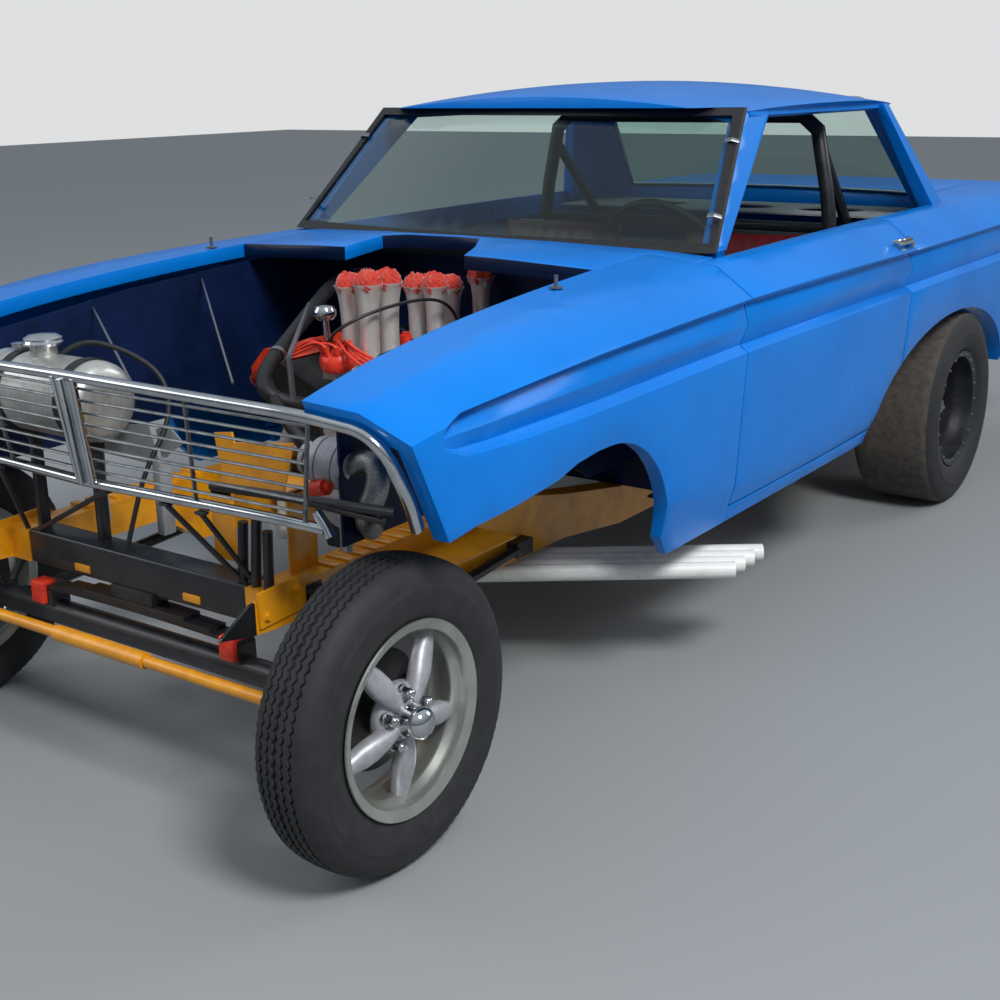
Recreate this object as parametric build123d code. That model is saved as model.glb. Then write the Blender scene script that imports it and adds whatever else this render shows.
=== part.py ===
from build123d import *
import math
import os

# A drag-strip compact car of the mid sixties, two doors, no hood, straight front axle.
# Millimetres. +Z up, the car looks along -Y, its left side is +X.
# Inside this file y = 0 is the middle of the old front wheel arch. The pieces are
# written out with the origin on the ground, below the middle of the overall length.

# Wheels and axles
FRONT_AXLE_Y = -642.0
REAR_AXLE_Y = 2466.0
FRONT_TYRE_R = 327.0
FRONT_TYRE_W = 145.0
FRONT_TYRE_X = 728.0
FRONT_RIM_R = 190.0
FRONT_RIM_LIP = 18.0
REAR_TYRE_R = 352.0
REAR_TYRE_W = 286.0
REAR_TYRE_X = 737.0
REAR_RIM_R = 195.0
REAR_RIM_LIP = 18.0
RUNNING_GAP = 0.3
WHEEL_SIDES = 32

# Front axle and steering
AXLE_TUBE_R = 30.0
KINGPIN_X = 575.0
KINGPIN_R = 13.0
KINGPIN_EYE_R = 30.0
KINGPIN_EYE_H = 76.0
ARM_T = 25.0
SPINDLE_R = 20.0
ARM_REACH = 121.0
ARM_Z = 345.0
TIE_ROD_R = 13.0
TIE_PIN_R = 8.0
TIE_EYE_H = 26.0
SPRING_BLOCK_H = 62.0
SPRING_LEAF_T = 8.0
SPRING_TOP_Z = 420.0
BEAM_TOP_Z = 530.0
STUB_R = 25.0
PINION_L = 288.0

# Overall body
REAR_FACE_Y = 3720.0
BUMPER_END_Y = 3801.0
SILL_Z = 408.0
FENDER_WALL = 38.0
DOOR_WALL = 72.0
PANEL_GAP = 6.0
SEAM = 3.0
DOOR_FRONT_Y = 611.0
DOOR_REAR_Y = 1800.0
DOOR_BOTTOM_Z = 458.0
BELT_X = 750.0
HOOD_REAR_Y = 344.0
LID_FRONT_Y = 2800.0
LID_REAR_Y = 3640.0
LID_X = 610.0
LID_WALL = 30.0
LID_CROWN = 5.0
SEAL_T = 12.0

# Body sections: y, lip x, lip z, crown height, shoulder x, shoulder z,
# hip x, hip z, belly x, belly z, sill x
BODY_SECTIONS = [
    (-820, 650, 962, 6, 772, 950, 868, 893, 866, 720, 812),
    (-500, 640, 1024, 10, 794, 1020, 893, 952, 886, 640, 826),
    (-100, 622, 1064, 14, 802, 1060, 902, 984, 888, 600, 834),
    (600, 600, 1098, 16, 800, 1080, 905, 1006, 873, 520, 840),
    (1800, 640, 1106, 12, 806, 1088, 905, 1000, 871, 520, 840),
    (2700, 660, 1102, LID_CROWN, 802, 1086, 899, 1000, 864, 520, 832),
    (REAR_FACE_Y, 640, 1068, LID_CROWN, 780, 1054, 866, 980, 838, 520, 790),
]

# Side coves: y, upper crease z, lower crease z, share of the full depth
COVE_STATIONS = [
    (-636, 908, 900, 0.05),
    (-620, 926, 884, 0.5),
    (-575, 944, 868, 0.85),
    (-480, 958, 862, 1.0),
    (-100, 985, 860, 1.0),
    (600, 1006, 868, 1.0),
    (1800, 1000, 866, 1.0),
    (2700, 1000, 862, 1.0),
    (3640, 984, 850, 1.0),
]
COVE_DEPTH = 24.0

# Front wheel arch and the lower edge of the fender, as y and z
FENDER_TIP = (-623.0, 708.0)
FENDER_TOP_FRONT = (-752.0, 981.0)
FENDER_EDGE = [(-547, 720), (-412, 729), (-266, 745), (-188, 765), (-108, 773), (-60, 773)]
FRONT_ARCH = (-60.0, 470.0, 305.0, 303.0)
REAR_ARCH = (2300.0, 373.0, 720.0, 362.0)

# Greenhouse
GLASS_BASE_Z = 1104.0
ROOF_RAIL_Z = 1440.0
# Curved windows: half width, y at the sides, y in the middle
SCREEN_BASE = (738.0, 722.0, 640.0)
SCREEN_TOP = (646.0, 1065.0, 1006.0)
BACKLIGHT_BASE = (604.0, 2600.0, 2716.0)
BACKLIGHT_TOP = (520.0, 2256.0, 2300.0)
SCREEN_TRIM = 21.0
SCREEN_SEAT = 4.0
SCREEN_DEPTH = 16.0
SHEET_REACH = 300.0
GLASS_T = 6.0
ROOF_WALL = 34.0
# Roof sections: y, half width, edge z, crown z
ROOF_SECTIONS = [
    (980, 642, 1436, 1486),
    (1200, 654, 1448, 1512),
    (1600, 654, 1454, 1524),
    (2040, 636, 1450, 1508),
    (2310, 600, 1434, 1462),
]

# Chassis and floor
FLOOR_Z = SILL_Z
FLOOR_T = 6.0
TOE_Y = 700.0
KICK_Y = 1870.0
REAR_FLOOR_Z = 634.0
REAR_FLOOR_X = 560.0
# Tunnel: y, half width, top z
TUNNEL = [(TOE_Y + 6, 206, 690), (1060, 160, 610), (1320, 112, 560), (KICK_Y + 60, 92, 478)]
GEARBOX_MOUNT_Y = 1100.0
RAIL_X = 400.0
RAIL_W = 76.0
RAIL_FRONT_Y = -660.0
# Side outline of a rail: y, top z, bottom z
RAIL_OUTLINE = [
    (RAIL_FRONT_Y, 526, 446),
    (-250, 528, 442),
    (-110, 528, 352),
    (300, 496, 336),
    (460, 460, 336),
    (760, FLOOR_Z, 298),
    (1900, FLOOR_Z, 298),
    (2120, 560, 486),
    (2820, 560, 486),
    (3060, 500, 420),
    (3640, 500, 420),
]

# Engine
ENGINE_Y0 = 110.0
ENGINE_Y1 = 610.0
CRANK_Z = 480.0
BELL_END_Y = 694.0
GEARBOX_L = 560.0
GEARBOX_TAIL_R = 60.0
# Exhaust face of a head, from its lower to its upper edge, as x and height over the crank
HEAD_FACE = ((180.0, 70.0), (330.0, 240.0))
STACK_X = 45.0
STACK_Y = [178.0, 255.0, 437.0, 514.0]
STACK_TOP_Z = 1066.0
STACK_R = 25.0
BELL_R = 38.0
SPARE_STACK = (45.0, 636.0, 1035.0)
HEADER_R = 21.0
HEADER_PITCH = 56.0
HEADER_Z = 300.0
HEADER_TIP = (900.0, 569.0)
HEADER_HEADING = (0.814, 0.581)
PORT_Y = [158.0, 270.0, 438.0, 550.0]

# Grille
GRILLE_TOP = [(0.0, -778.0, 962.0), (640.0, -756.0, 952.0), (786.0, -746.0, 938.0), (828.0, -732.0, 900.0)]
GRILLE_HOOK = [(828.0, -732.0, 900.0), (845.0, -692.0, 800.0), (836.0, -660.0, 738.0)]
GRILLE_BOTTOM = [(0.0, -742.0, 720.0), (540.0, -714.0, 720.0), (640.0, -700.0, 713.0)]
GRILLE_BARS = 8
MOULDING_H = 20.0
GRILLE_POST = [(596.0, -714.0, 724.0), (652.0, -750.0, 944.0)]
TANK_CENTRE = (-250.0, -612.0, 846.0)
TANK_R = 101.0
TANK_L = 430.0

ORIGIN_Y = (FRONT_AXLE_Y - FRONT_TYRE_R + BUMPER_END_Y) / 2


# Helpers

def box(x0, x1, y0, y1, z0, z1):
    """A block between two corners."""
    centre = Pos((x0 + x1) / 2, (y0 + y1) / 2, (z0 + z1) / 2)
    return centre * Box(abs(x1 - x0), abs(y1 - y0), abs(z1 - z0))


def outline(points):
    """A flat face from its corners."""
    return make_face(Polyline(*points, close=True))


def prism_x(points, x0, x1):
    """A (y, z) outline carried from x0 to x1."""
    return extrude(outline([(x0, y, z) for y, z in points]), amount=x1 - x0, dir=(1, 0, 0))


def prism_y(points, y0, y1):
    """An (x, z) outline carried from y0 to y1."""
    return extrude(outline([(x, y0, z) for x, z in points]), amount=y1 - y0, dir=(0, 1, 0))


def prism_z(points, z0, z1):
    """An (x, y) outline carried from z0 to z1."""
    return extrude(outline([(x, y, z0) for x, y in points]), amount=z1 - z0, dir=(0, 0, 1))


def rod(start, end, radius):
    """A round bar between two points."""
    a, b = Vector(*start), Vector(*end)
    place = Plane(origin=(a + b) / 2, z_dir=b - a)
    return place * Cylinder(radius, (b - a).length)


def facets(radius):
    """How many flats stand for a circle."""
    if radius < 30:
        return 8
    return 12 if radius < 70 else 20


def flats(radius, count=None):
    """A regular polygon whose flats, not its corners, lie on the circle, two of them level."""
    count = count or facets(radius)
    return Rot(0, 0, 180 / count) * RegularPolygon(radius, count, major_radius=False)


def spar(start, end, radius):
    """A many-sided bar between two points."""
    a, b = Vector(*start), Vector(*end)
    place = Plane(origin=a, z_dir=b - a)
    return extrude(place * flats(radius), amount=(b - a).length, dir=(b - a).normalized())


def stacked(stations, x, y, z, turn=Rot(0, 90, 0), count=None):
    """A many-sided solid through (radius, along) stations, along X unless turned otherwise."""
    count = count or facets(max(radius for radius, along in stations))
    rings = [Pos(x, y, z) * turn * Pos(0, 0, along) * flats(radius, count) for radius, along in stations]
    return loft(rings, ruled=True)


def hooped(profile, x, y, z, count=28):
    """A closed (radius, along) profile carried round the X direction in many straight steps."""
    step = 2 * math.pi / count
    reach = max(radius for radius, along in profile)
    corner_r = reach / math.cos(step / 2)
    corners = [(x, y + corner_r * math.sin(step * (i + 0.5)), z - corner_r * math.cos(step * (i + 0.5)))
               for i in range(count)]
    start = (x, y, z - reach)
    path = Polyline(start, *corners, start)
    face = outline([(x + along, y, z - radius) for radius, along in profile])
    return sweep(face, path=path, transition=Transition.RIGHT)


def bar(start, end, width, height):
    """A square-edged bar between two points, its height along Z."""
    a, b = Vector(*start), Vector(*end)
    along = (b - a).normalized()
    side = along.cross(Vector(0, 0, 1)).normalized()
    place = Plane(origin=(a + b) / 2, x_dir=side, z_dir=along)
    return place * Box(width, height, (b - a).length)


def pipe(points, radius, cut):
    """A many-sided tube through points, each corner cut off a given length from it."""
    places = [Vector(*point) for point in points]
    route = [places[0]]
    for before, corner, after in zip(places, places[1:], places[2:]):
        route.append(corner + (before - corner).normalized() * cut)
        route.append(corner + (after - corner).normalized() * cut)
    route.append(places[-1])
    path = Polyline(*[tuple(place) for place in route])
    section = Plane(origin=path @ 0, z_dir=path % 0) * flats(radius)
    return sweep(section, path=path, transition=Transition.RIGHT)


def both_sides(shape):
    """The shape and its mirror image."""
    return shape + mirror(shape, about=Plane.YZ)


def other_side(shape):
    """The mirror image."""
    return mirror(shape, about=Plane.YZ)


# Body shell

def body_form(inset=0.0):
    """The lower body as one solid; with an inset, the space inside its walls, open below."""
    rings = []
    last = len(BODY_SECTIONS) - 1
    for index, section in enumerate(BODY_SECTIONS):
        y, lip_x, lip_z, crown, shoulder_x, shoulder_z, hip_x, hip_z, belly_x, belly_z, sill_x = section
        if inset and index == last:
            y -= inset
        low = SILL_Z - 2 * inset
        half = [
            (lip_x * 0.5, lip_z + crown * 0.75 - inset),
            (lip_x, lip_z - inset),
            (shoulder_x - inset * 0.7, shoulder_z - inset),
            (hip_x - inset, hip_z - inset * 0.4),
            (belly_x - inset, belly_z),
            (sill_x - inset, low),
        ]
        ring = [(-x, z) for x, z in reversed(half)] + [(0, lip_z + crown - inset)] + half
        rings.append(outline([(x, y, z) for x, z in ring]))
    return loft(rings)


def cove_cutter():
    """The two-step hollow along the left side, with a pointed front."""
    rings = []
    reach = 60.0
    for y, top, low, share in COVE_STATIONS:
        height = top - low
        depth = COVE_DEPTH * share
        upper, lower = side_x(y, top), side_x(y, low)
        step = height * 0.13
        shape = [
            (upper + reach, top + step * reach / depth),
            (upper - depth, top - step),
            ((upper + lower) / 2 - depth * 0.3, top - height * 0.48),
            (lower - depth, low + step),
            (lower + reach, low - step * reach / depth),
        ]
        rings.append(outline([(x, y, z) for x, z in shape]))
    return loft(rings, ruled=True)


def side_x(y, z):
    """Half width of the body at a height, straight between the sections."""
    def at(section):
        points = [(section[9], section[8]), (section[7], section[6]), (section[5], section[4])]
        low, high = (points[0], points[1]) if z <= points[1][0] else (points[1], points[2])
        return low[1] + (high[1] - low[1]) * (z - low[0]) / (high[0] - low[0])

    for front, back in zip(BODY_SECTIONS, BODY_SECTIONS[1:]):
        if y <= back[0]:
            share = (y - front[0]) / (back[0] - front[0])
            return at(front) + (at(back) - at(front)) * share
    return at(BODY_SECTIONS[-1])


def front_arch_cutter():
    """Everything below the fender's lower edge, and ahead of its front edge."""
    y, z, half_length, height = FRONT_ARCH
    far_y, low_z, high_z = -1100.0, 300.0, 1200.0
    tip_y, tip_z = FENDER_TIP
    top_y, top_z = FENDER_TOP_FRONT
    slope = (top_y - tip_y) / (top_z - tip_z)
    below = [(far_y, low_z), (far_y, tip_z), FENDER_TIP] + FENDER_EDGE + [(y, low_z)]
    ahead = [(far_y, tip_z), FENDER_TIP, (tip_y + slope * (high_z - tip_z), high_z), (far_y, high_z)]
    reach = 1000.0
    opening = Plane.YZ * Pos(y, z) * Ellipse(half_length, height)
    arch = Pos(-reach, 0, 0) * extrude(opening, amount=2 * reach, dir=(1, 0, 0))
    leg = [(y, low_z), (y, z), (y + half_length, z), (y + half_length + z - low_z, low_z)]
    cutter = prism_x(below, -reach, reach) + prism_x(ahead, -reach, reach)
    return cutter + arch + prism_x(leg, -reach, reach)


def rear_arch_cutter():
    """The long opening round the rear wheel, and the rising edge behind it."""
    y, z, half_length, height = REAR_ARCH
    reach = 1000.0
    opening = Plane.YZ * Pos(y, z) * Ellipse(half_length, height)
    arch = Pos(-reach, 0, 0) * extrude(opening, amount=2 * reach, dir=(1, 0, 0))
    behind = [(y + half_length - 60, z - 100), (y + half_length - 60, z + 60),
              (REAR_FACE_Y + 50, z + 130), (REAR_FACE_Y + 50, z - 100)]
    return arch + prism_x(behind, -reach, reach)


def hood_opening():
    """The space where the hood was, between the fender lips."""
    front, back = BODY_SECTIONS[0], BODY_SECTIONS[3]
    corners = [(-front[1], -900), (front[1], -900), (back[1], HOOD_REAR_Y), (-back[1], HOOD_REAR_Y)]
    return prism_z(corners, 700, 1250)


def skin(wall, cutters):
    """The body's walls, with coves and arches cut."""
    return body_form() - body_form(wall) - cutters


def cabin_opening():
    """The space inside the belt, from the windshield's foot to the back window."""
    half, side_y, mid_y = SCREEN_BASE
    rear_half, rear_side_y, rear_mid_y = BACKLIGHT_BASE
    ahead = SCREEN_SEAT + SEAM
    front = ThreePointArc((-half, side_y - ahead, 0), (0, mid_y - ahead, 0), (half, side_y - ahead, 0))
    back = ThreePointArc((rear_half, rear_side_y - 6, 0), (0, rear_mid_y - 6, 0), (-rear_half, rear_side_y - 6, 0))
    right = Polyline((half, side_y - ahead, 0), (BELT_X, side_y + 20, 0), (BELT_X, 2340, 0), (736, 2400, 0),
                     (rear_half, rear_side_y - 6, 0))
    left = Polyline((-rear_half, rear_side_y - 6, 0), (-736, 2400, 0), (-BELT_X, 2340, 0), (-BELT_X, side_y + 20, 0),
                    (-half, side_y - ahead, 0))
    floor = Pos(0, 0, 960) * make_face([front, right, back, left])
    return extrude(floor, amount=300, dir=(0, 0, 1))


def fender(wall_skin):
    """Left front fender, from the grille to the door."""
    lip = BODY_SECTIONS[3][1]
    edge = DOOR_FRONT_Y - PANEL_GAP / 2
    block = box(0, 1000, -1000, edge, 300, 1250) - box(0, lip, HOOD_REAR_Y, edge, 300, 1250)
    return wall_skin & (block - hood_opening())


def cowl_panel(cabin):
    """The panel between hood opening and windshield, with a notch for the engine."""
    lip = BODY_SECTIONS[3][1] - SEAM
    shell = body_form() - body_form(FENDER_WALL)
    half, side_y, mid_y = SCREEN_BASE
    corner = DOOR_FRONT_Y - PANEL_GAP / 2 + SEAM
    ends = box(-half, half, corner, side_y, 900, 1250)
    piece = shell & (box(-lip, lip, HOOD_REAR_Y, side_y, 900, 1250) + ends)
    notch = prism_z([(-200, HOOD_REAR_Y - 20), (-252, 560), (-190, 600), (70, 600), (150, 470),
                     (215, HOOD_REAR_Y - 20)], 900, 1250)
    return piece - notch - cabin


def door(wall_skin):
    """Left door below the window, as thick as the real one."""
    front = DOOR_FRONT_Y + PANEL_GAP / 2
    back = DOOR_REAR_Y - PANEL_GAP / 2
    return wall_skin & box(BELT_X, 1000, front, back, DOOR_BOTTOM_Z, 1250)


def door_handle():
    """Chrome pull with its thumb button."""
    y, z = 1706.0, 1036.0
    x = side_x(y, z) + 2
    shape = box(x - 12, x + 4, y - 60, y + 60, z - 10, z + 10)
    for place, half in ((-46, 7), (40, 12)):
        shape += box(x, x + 30, y + place - half, y + place + half, z - 8, z + 8)
    shape += box(x + 20, x + 32, y - 58, y + 56, z - 7, z + 7)
    return shape - body_form()


def quarter(wall_skin, cabin, roof):
    """Left rear quarter, from the door to the tail, with the door's and the lid's seal channels."""
    front = DOOR_REAR_Y + PANEL_GAP / 2
    inner = LID_X + PANEL_GAP
    block = box(inner, 1000, front, REAR_FACE_Y + 10, 300, 1250)
    piece = (wall_skin & block) - cabin
    root = inner_band(DOOR_WALL - 2, DOOR_WALL + SEAL_T) & box(700, 1000, front, front + 16, 640, 1000)
    lip = inner_band(DOOR_WALL + RUNNING_GAP, DOOR_WALL + SEAL_T)
    lip &= box(700, 1000, front - PANEL_GAP - 22, front + 1, 640, 1000)
    channel = inner_band(LID_WALL + RUNNING_GAP, LID_WALL + SEAL_T)
    channel &= box(LID_X - 24, inner + 1, LID_FRONT_Y + 30, LID_REAR_Y - 30, 900, 1250)
    return piece + root + lip + channel - roof


def inner_band(start, end):
    """The layer between two depths below the body's surface."""
    return body_form(start) - body_form(end)


def sill(wall_skin):
    """Left sill below the door."""
    front = DOOR_FRONT_Y - PANEL_GAP / 2
    back = DOOR_REAR_Y + PANEL_GAP / 2
    return wall_skin & box(600, 1000, front + SEAM / 3, back - SEAM / 3, 300, DOOR_BOTTOM_Z - PANEL_GAP)


def lid_block(gap):
    """The trunk lid's outline, grown by a gap."""
    return box(-LID_X - gap, LID_X + gap, LID_FRONT_Y - gap, LID_REAR_Y + gap, 980, 1250)


def trunk_lid():
    """The lid over the luggage space."""
    return (body_form() - body_form(LID_WALL)) & lid_block(0)


def tail_panel(wall_skin, cabin, roof):
    """Deck strip ahead of the lid and upright tail wall, with a seal channel under the lid."""
    inner = LID_X + PANEL_GAP - SEAM
    deck = wall_skin & box(-inner, inner, 2400, REAR_FACE_Y + 10, 300, 1250)
    deck -= cabin + lid_block(PANEL_GAP)
    channel = inner_band(LID_WALL + RUNNING_GAP, LID_WALL + SEAL_T)
    channel &= box(-LID_X + 40, LID_X - 40, LID_FRONT_Y - PANEL_GAP - 1, LID_FRONT_Y + 24, 900, 1250)
    return deck + channel - roof - rear_glass()


# Greenhouse

def screen_sheet(base, top, outward, inward):
    """A bent sheet between the curves of a window's foot and head."""
    rings = []
    for (half, side_y, mid_y), z in ((base, GLASS_BASE_Z - 8), (top, ROOF_RAIL_Z + 14)):
        front = ThreePointArc((-half, side_y - outward, z), (0, mid_y - outward, z), (half, side_y - outward, z))
        back = ThreePointArc((half, side_y + inward, z), (0, mid_y + inward, z), (-half, side_y + inward, z))
        right = Line((half, side_y - outward, z), (half, side_y + inward, z))
        left = Line((-half, side_y + inward, z), (-half, side_y - outward, z))
        rings.append(make_face([front, right, back, left]))
    return loft(rings, ruled=True)


def window_prism(base, top, margin):
    """The window's outline seen from the front, smaller by a margin all round."""
    low, high = GLASS_BASE_Z - 8 + margin, ROOF_RAIL_Z + 14 - margin
    outline_points = [(-base[0] + margin * 1.1, low), (base[0] - margin * 1.1, low),
                      (top[0] - margin * 1.1, high), (-top[0] + margin * 1.1, high)]
    y = min(base[2], top[1]) - 200
    return prism_y(outline_points, y, y + 900)


def windshield():
    """Front glass inside its rubber."""
    sheet = screen_sheet(SCREEN_BASE, SCREEN_TOP, -4, 4 + GLASS_T)
    return sheet & window_prism(SCREEN_BASE, SCREEN_TOP, SCREEN_TRIM)


def windshield_trim():
    """Black rubber surround of the front glass."""
    sheet = screen_sheet(SCREEN_BASE, SCREEN_TOP, SCREEN_SEAT, SCREEN_DEPTH)
    return sheet - window_prism(SCREEN_BASE, SCREEN_TOP, SCREEN_TRIM)


def rear_glass():
    """Back window, lying against the pillars' rear faces."""
    return screen_sheet(BACKLIGHT_BASE, BACKLIGHT_TOP, GLASS_T, 0)


def roof_band(section, wall):
    """One section of the roof: its arc above, the same arc below, a wall apart."""
    y, half, edge_z, crown_z = section
    above = ThreePointArc((-half, y, edge_z), (0, y, crown_z), (half, y, edge_z))
    below = ThreePointArc((half - wall, y, edge_z - wall * 0.7), (0, y, crown_z - wall),
                          (-half + wall, y, edge_z - wall * 0.7))
    right = Line((half, y, edge_z), (half - wall, y, edge_z - wall * 0.7))
    left = Line((-half + wall, y, edge_z - wall * 0.7), (-half, y, edge_z))
    return make_face([above, right, below, left])


def roof_panel():
    """Roof skin with its pillars and the posts that carry the front ones."""
    roof = loft([roof_band(section, ROOF_WALL) for section in ROOF_SECTIONS])
    front_foot = [(690, 735, 1097), (735, 715, 1097), (735, 796, 1097), (692, 800, 1097)]
    front_head = [(604, 1058, 1444), (643, 1048, 1444), (645, 1232, 1444), (610, 1232, 1444)]
    rear_foot = [(724, 2340, 1060), (776, 2346, 1060), (768, 2470, 1060), (734, 2536, 1060),
                 (616, 2640, 1060), (600, 2606, 1060), (690, 2490, 1060)]
    rear_head = [(600, 2150, 1436), (634, 2150, 1436), (630, 2200, 1436), (610, 2254, 1436),
                 (524, 2270, 1436), (518, 2240, 1436), (580, 2200, 1436)]
    pillars = loft([outline(front_foot), outline(front_head)], ruled=True)
    pillars += loft([outline(rear_foot), outline(rear_head)], ruled=True)
    pillars += box(694, 733, 748, 790, FLOOR_Z + FLOOR_T, 1110)
    rail = loft([outline([(600, 1090, 1420), (600, 1090, 1448), (648, 1090, 1444), (652, 1090, 1430)]),
                 outline([(590, 2230, 1416), (590, 2230, 1440), (612, 2230, 1438), (616, 2230, 1424)])],
                ruled=True)
    shape = roof + both_sides(pillars + rail)
    shape -= screen_sheet(SCREEN_BASE, SCREEN_TOP, SHEET_REACH, SCREEN_DEPTH)
    return shape - screen_sheet(BACKLIGHT_BASE, BACKLIGHT_TOP, GLASS_T, SHEET_REACH)


# Floor and bulkheads

def tunnel(inset):
    """The hump over gearbox and shaft; with an inset, the space inside it, open below."""
    rings = []
    for y, half, top in TUNNEL:
        low = FLOOR_Z + FLOOR_T / 2 - 8 * inset
        side = [(half - inset, low), (half * 0.72 - inset * 0.7, top - inset)]
        ring = side + [(-x, z) for x, z in reversed(side)]
        rings.append(outline([(x, y, z) for x, z in ring]))
    return loft(rings, ruled=True)


def floor_pan(sill_left):
    """Floor, tunnel and the raised rear floor between the wheels."""
    half = 806.0
    low, high, t = FLOOR_Z, REAR_FLOOR_Z, FLOOR_T
    toe_z = low + 122
    under = [(TOE_Y, toe_z), (TOE_Y + 74, low), (KICK_Y, low), (KICK_Y + 200, high), (2894, high),
             (3014, high - 80), (REAR_FACE_Y - DOOR_WALL - 2, high - 80)]
    over = [(y + (t if index < 2 else 0), z + t) for index, (y, z) in enumerate(under)]
    pan = prism_x(under + over[::-1], -REAR_FLOOR_X, REAR_FLOOR_X)
    pan = pan - tunnel(t) - Pos(0, -20, 0) * tunnel(t) + (tunnel(0) - tunnel(t))
    for sign in (-1, 1):
        pan += box(sign * (REAR_FLOOR_X - 1), sign * half, TOE_Y + t, 1560, low, low + t)
        pan += box(sign * (REAR_FLOOR_X - 1), sign * 640, 1558, KICK_Y + 62, low, low + t)
        pan += box(sign * (REAR_FLOOR_X - t), sign * REAR_FLOOR_X, KICK_Y + 60, 3020, low + 60, high + 2)
    return pan - both_sides(sill_left)


def firewall():
    """Dark bulkhead with the bell housing's hole, and the inner fender panels."""
    half = 736.0
    wall = box(-half, half, TOE_Y, TOE_Y + 6, FLOOR_Z + 122 + FLOOR_T, 1042)
    wall -= tunnel(FLOOR_T) + Pos(0, -20, 0) * tunnel(FLOOR_T)
    panel = [(-600, 640), (-600, 960), (-100, 1014), (340, 1040), (TOE_Y, 1040), (TOE_Y, 560), (340, 560),
             (200, 640)]
    return wall + both_sides(prism_x(panel, 588, 594))


def rear_shelf():
    """Package shelf with three oval holes."""
    shelf = prism_z([(-690, 2200), (690, 2200), (690, 2440), (590, 2590), (-590, 2590), (-690, 2440)], 1050, 1056)
    for x in (-360, 0, 360):
        shelf -= Pos(x, 2400, 1053) * extrude(Ellipse(130, 80), amount=20, both=True)
    return shelf


# Chassis

def chassis_frame():
    """Two box rails with their cross tubes and the gearbox mount."""
    top = [(y, high) for y, high, low in RAIL_OUTLINE]
    bottom = [(y, low) for y, high, low in reversed(RAIL_OUTLINE)]
    inner, outer = RAIL_X - RAIL_W / 2, RAIL_X + RAIL_W / 2
    rails = both_sides(prism_x(top + bottom, inner, outer))
    nose = [(RAIL_FRONT_Y - 150, 470), (RAIL_FRONT_Y - 60, 452), (RAIL_FRONT_Y + 10, 446),
            (RAIL_FRONT_Y + 10, 526), (RAIL_FRONT_Y - 60, 520)]
    rails += both_sides(prism_x(nose, outer - 8, outer))
    for y, z, r in ((GEARBOX_MOUNT_Y, 336, 26), (1840, 318, 18), (3560, 460, 30)):
        rails += spar((-inner - 4, y, z), (inner + 4, y, z), r)
    tail_z = gearbox_tail_z() - GEARBOX_TAIL_R
    return rails + box(-40, 40, GEARBOX_MOUNT_Y - 26, GEARBOX_MOUNT_Y + 26, 340, tail_z)


def front_crossmember():
    """Black front beam between the rails, spring seat and the struts to the grille."""
    inner = RAIL_X - RAIL_W / 2
    y0, y1 = RAIL_FRONT_Y, RAIL_FRONT_Y + 74
    beam = box(-inner, inner, y0, y1, 446, BEAM_TOP_Z)
    for x in (-260, -130, 0, 130, 260):
        beam -= Pos(x, y0, 488) * Box(84, 20, 34)
    seat = box(-70, 70, FRONT_AXLE_Y - 25, FRONT_AXLE_Y + 25, SPRING_TOP_Z, 446)
    legs = None
    for foot_x, head in ((300, (520.0, -717.0)), (110, (250.0, -730.0))):
        top_z = GRILLE_BOTTOM[0][2] - MOULDING_H / 2 - 0.4
        leg = spar((foot_x, y0 + 20, BEAM_TOP_Z - 4), (head[0], head[1], top_z - 9), 7)
        leg += box(head[0] - 14, head[0] + 14, head[1] - 10, head[1] + 10, top_z - 8, top_z)
        legs = leg if legs is None else legs + leg
    x, y, z = TANK_CENTRE
    for place in (-110, 110):
        seat += box(x + place - 9, x + place + 9, y - 14, y + 14, BEAM_TOP_Z - 2, z - TANK_R)
    return beam + seat + both_sides(legs)


# Front axle and steering

def front_axle():
    """Straight tube axle with an eye for each kingpin and two spring blocks."""
    y, z = FRONT_AXLE_Y, FRONT_TYRE_R
    reach = KINGPIN_X - KINGPIN_EYE_R + 4
    shape = spar((-reach, y, z), (reach, y, z), AXLE_TUBE_R)
    shape += both_sides(Pos(KINGPIN_X, y, z) * Cylinder(KINGPIN_EYE_R, KINGPIN_EYE_H))
    shape += both_sides(box(288, 338, y - 26, y + 26, z + 20, z + SPRING_BLOCK_H))
    return shape - both_sides(Pos(KINGPIN_X, y, z) * Cylinder(KINGPIN_R + RUNNING_GAP, KINGPIN_EYE_H + 20))


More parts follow.
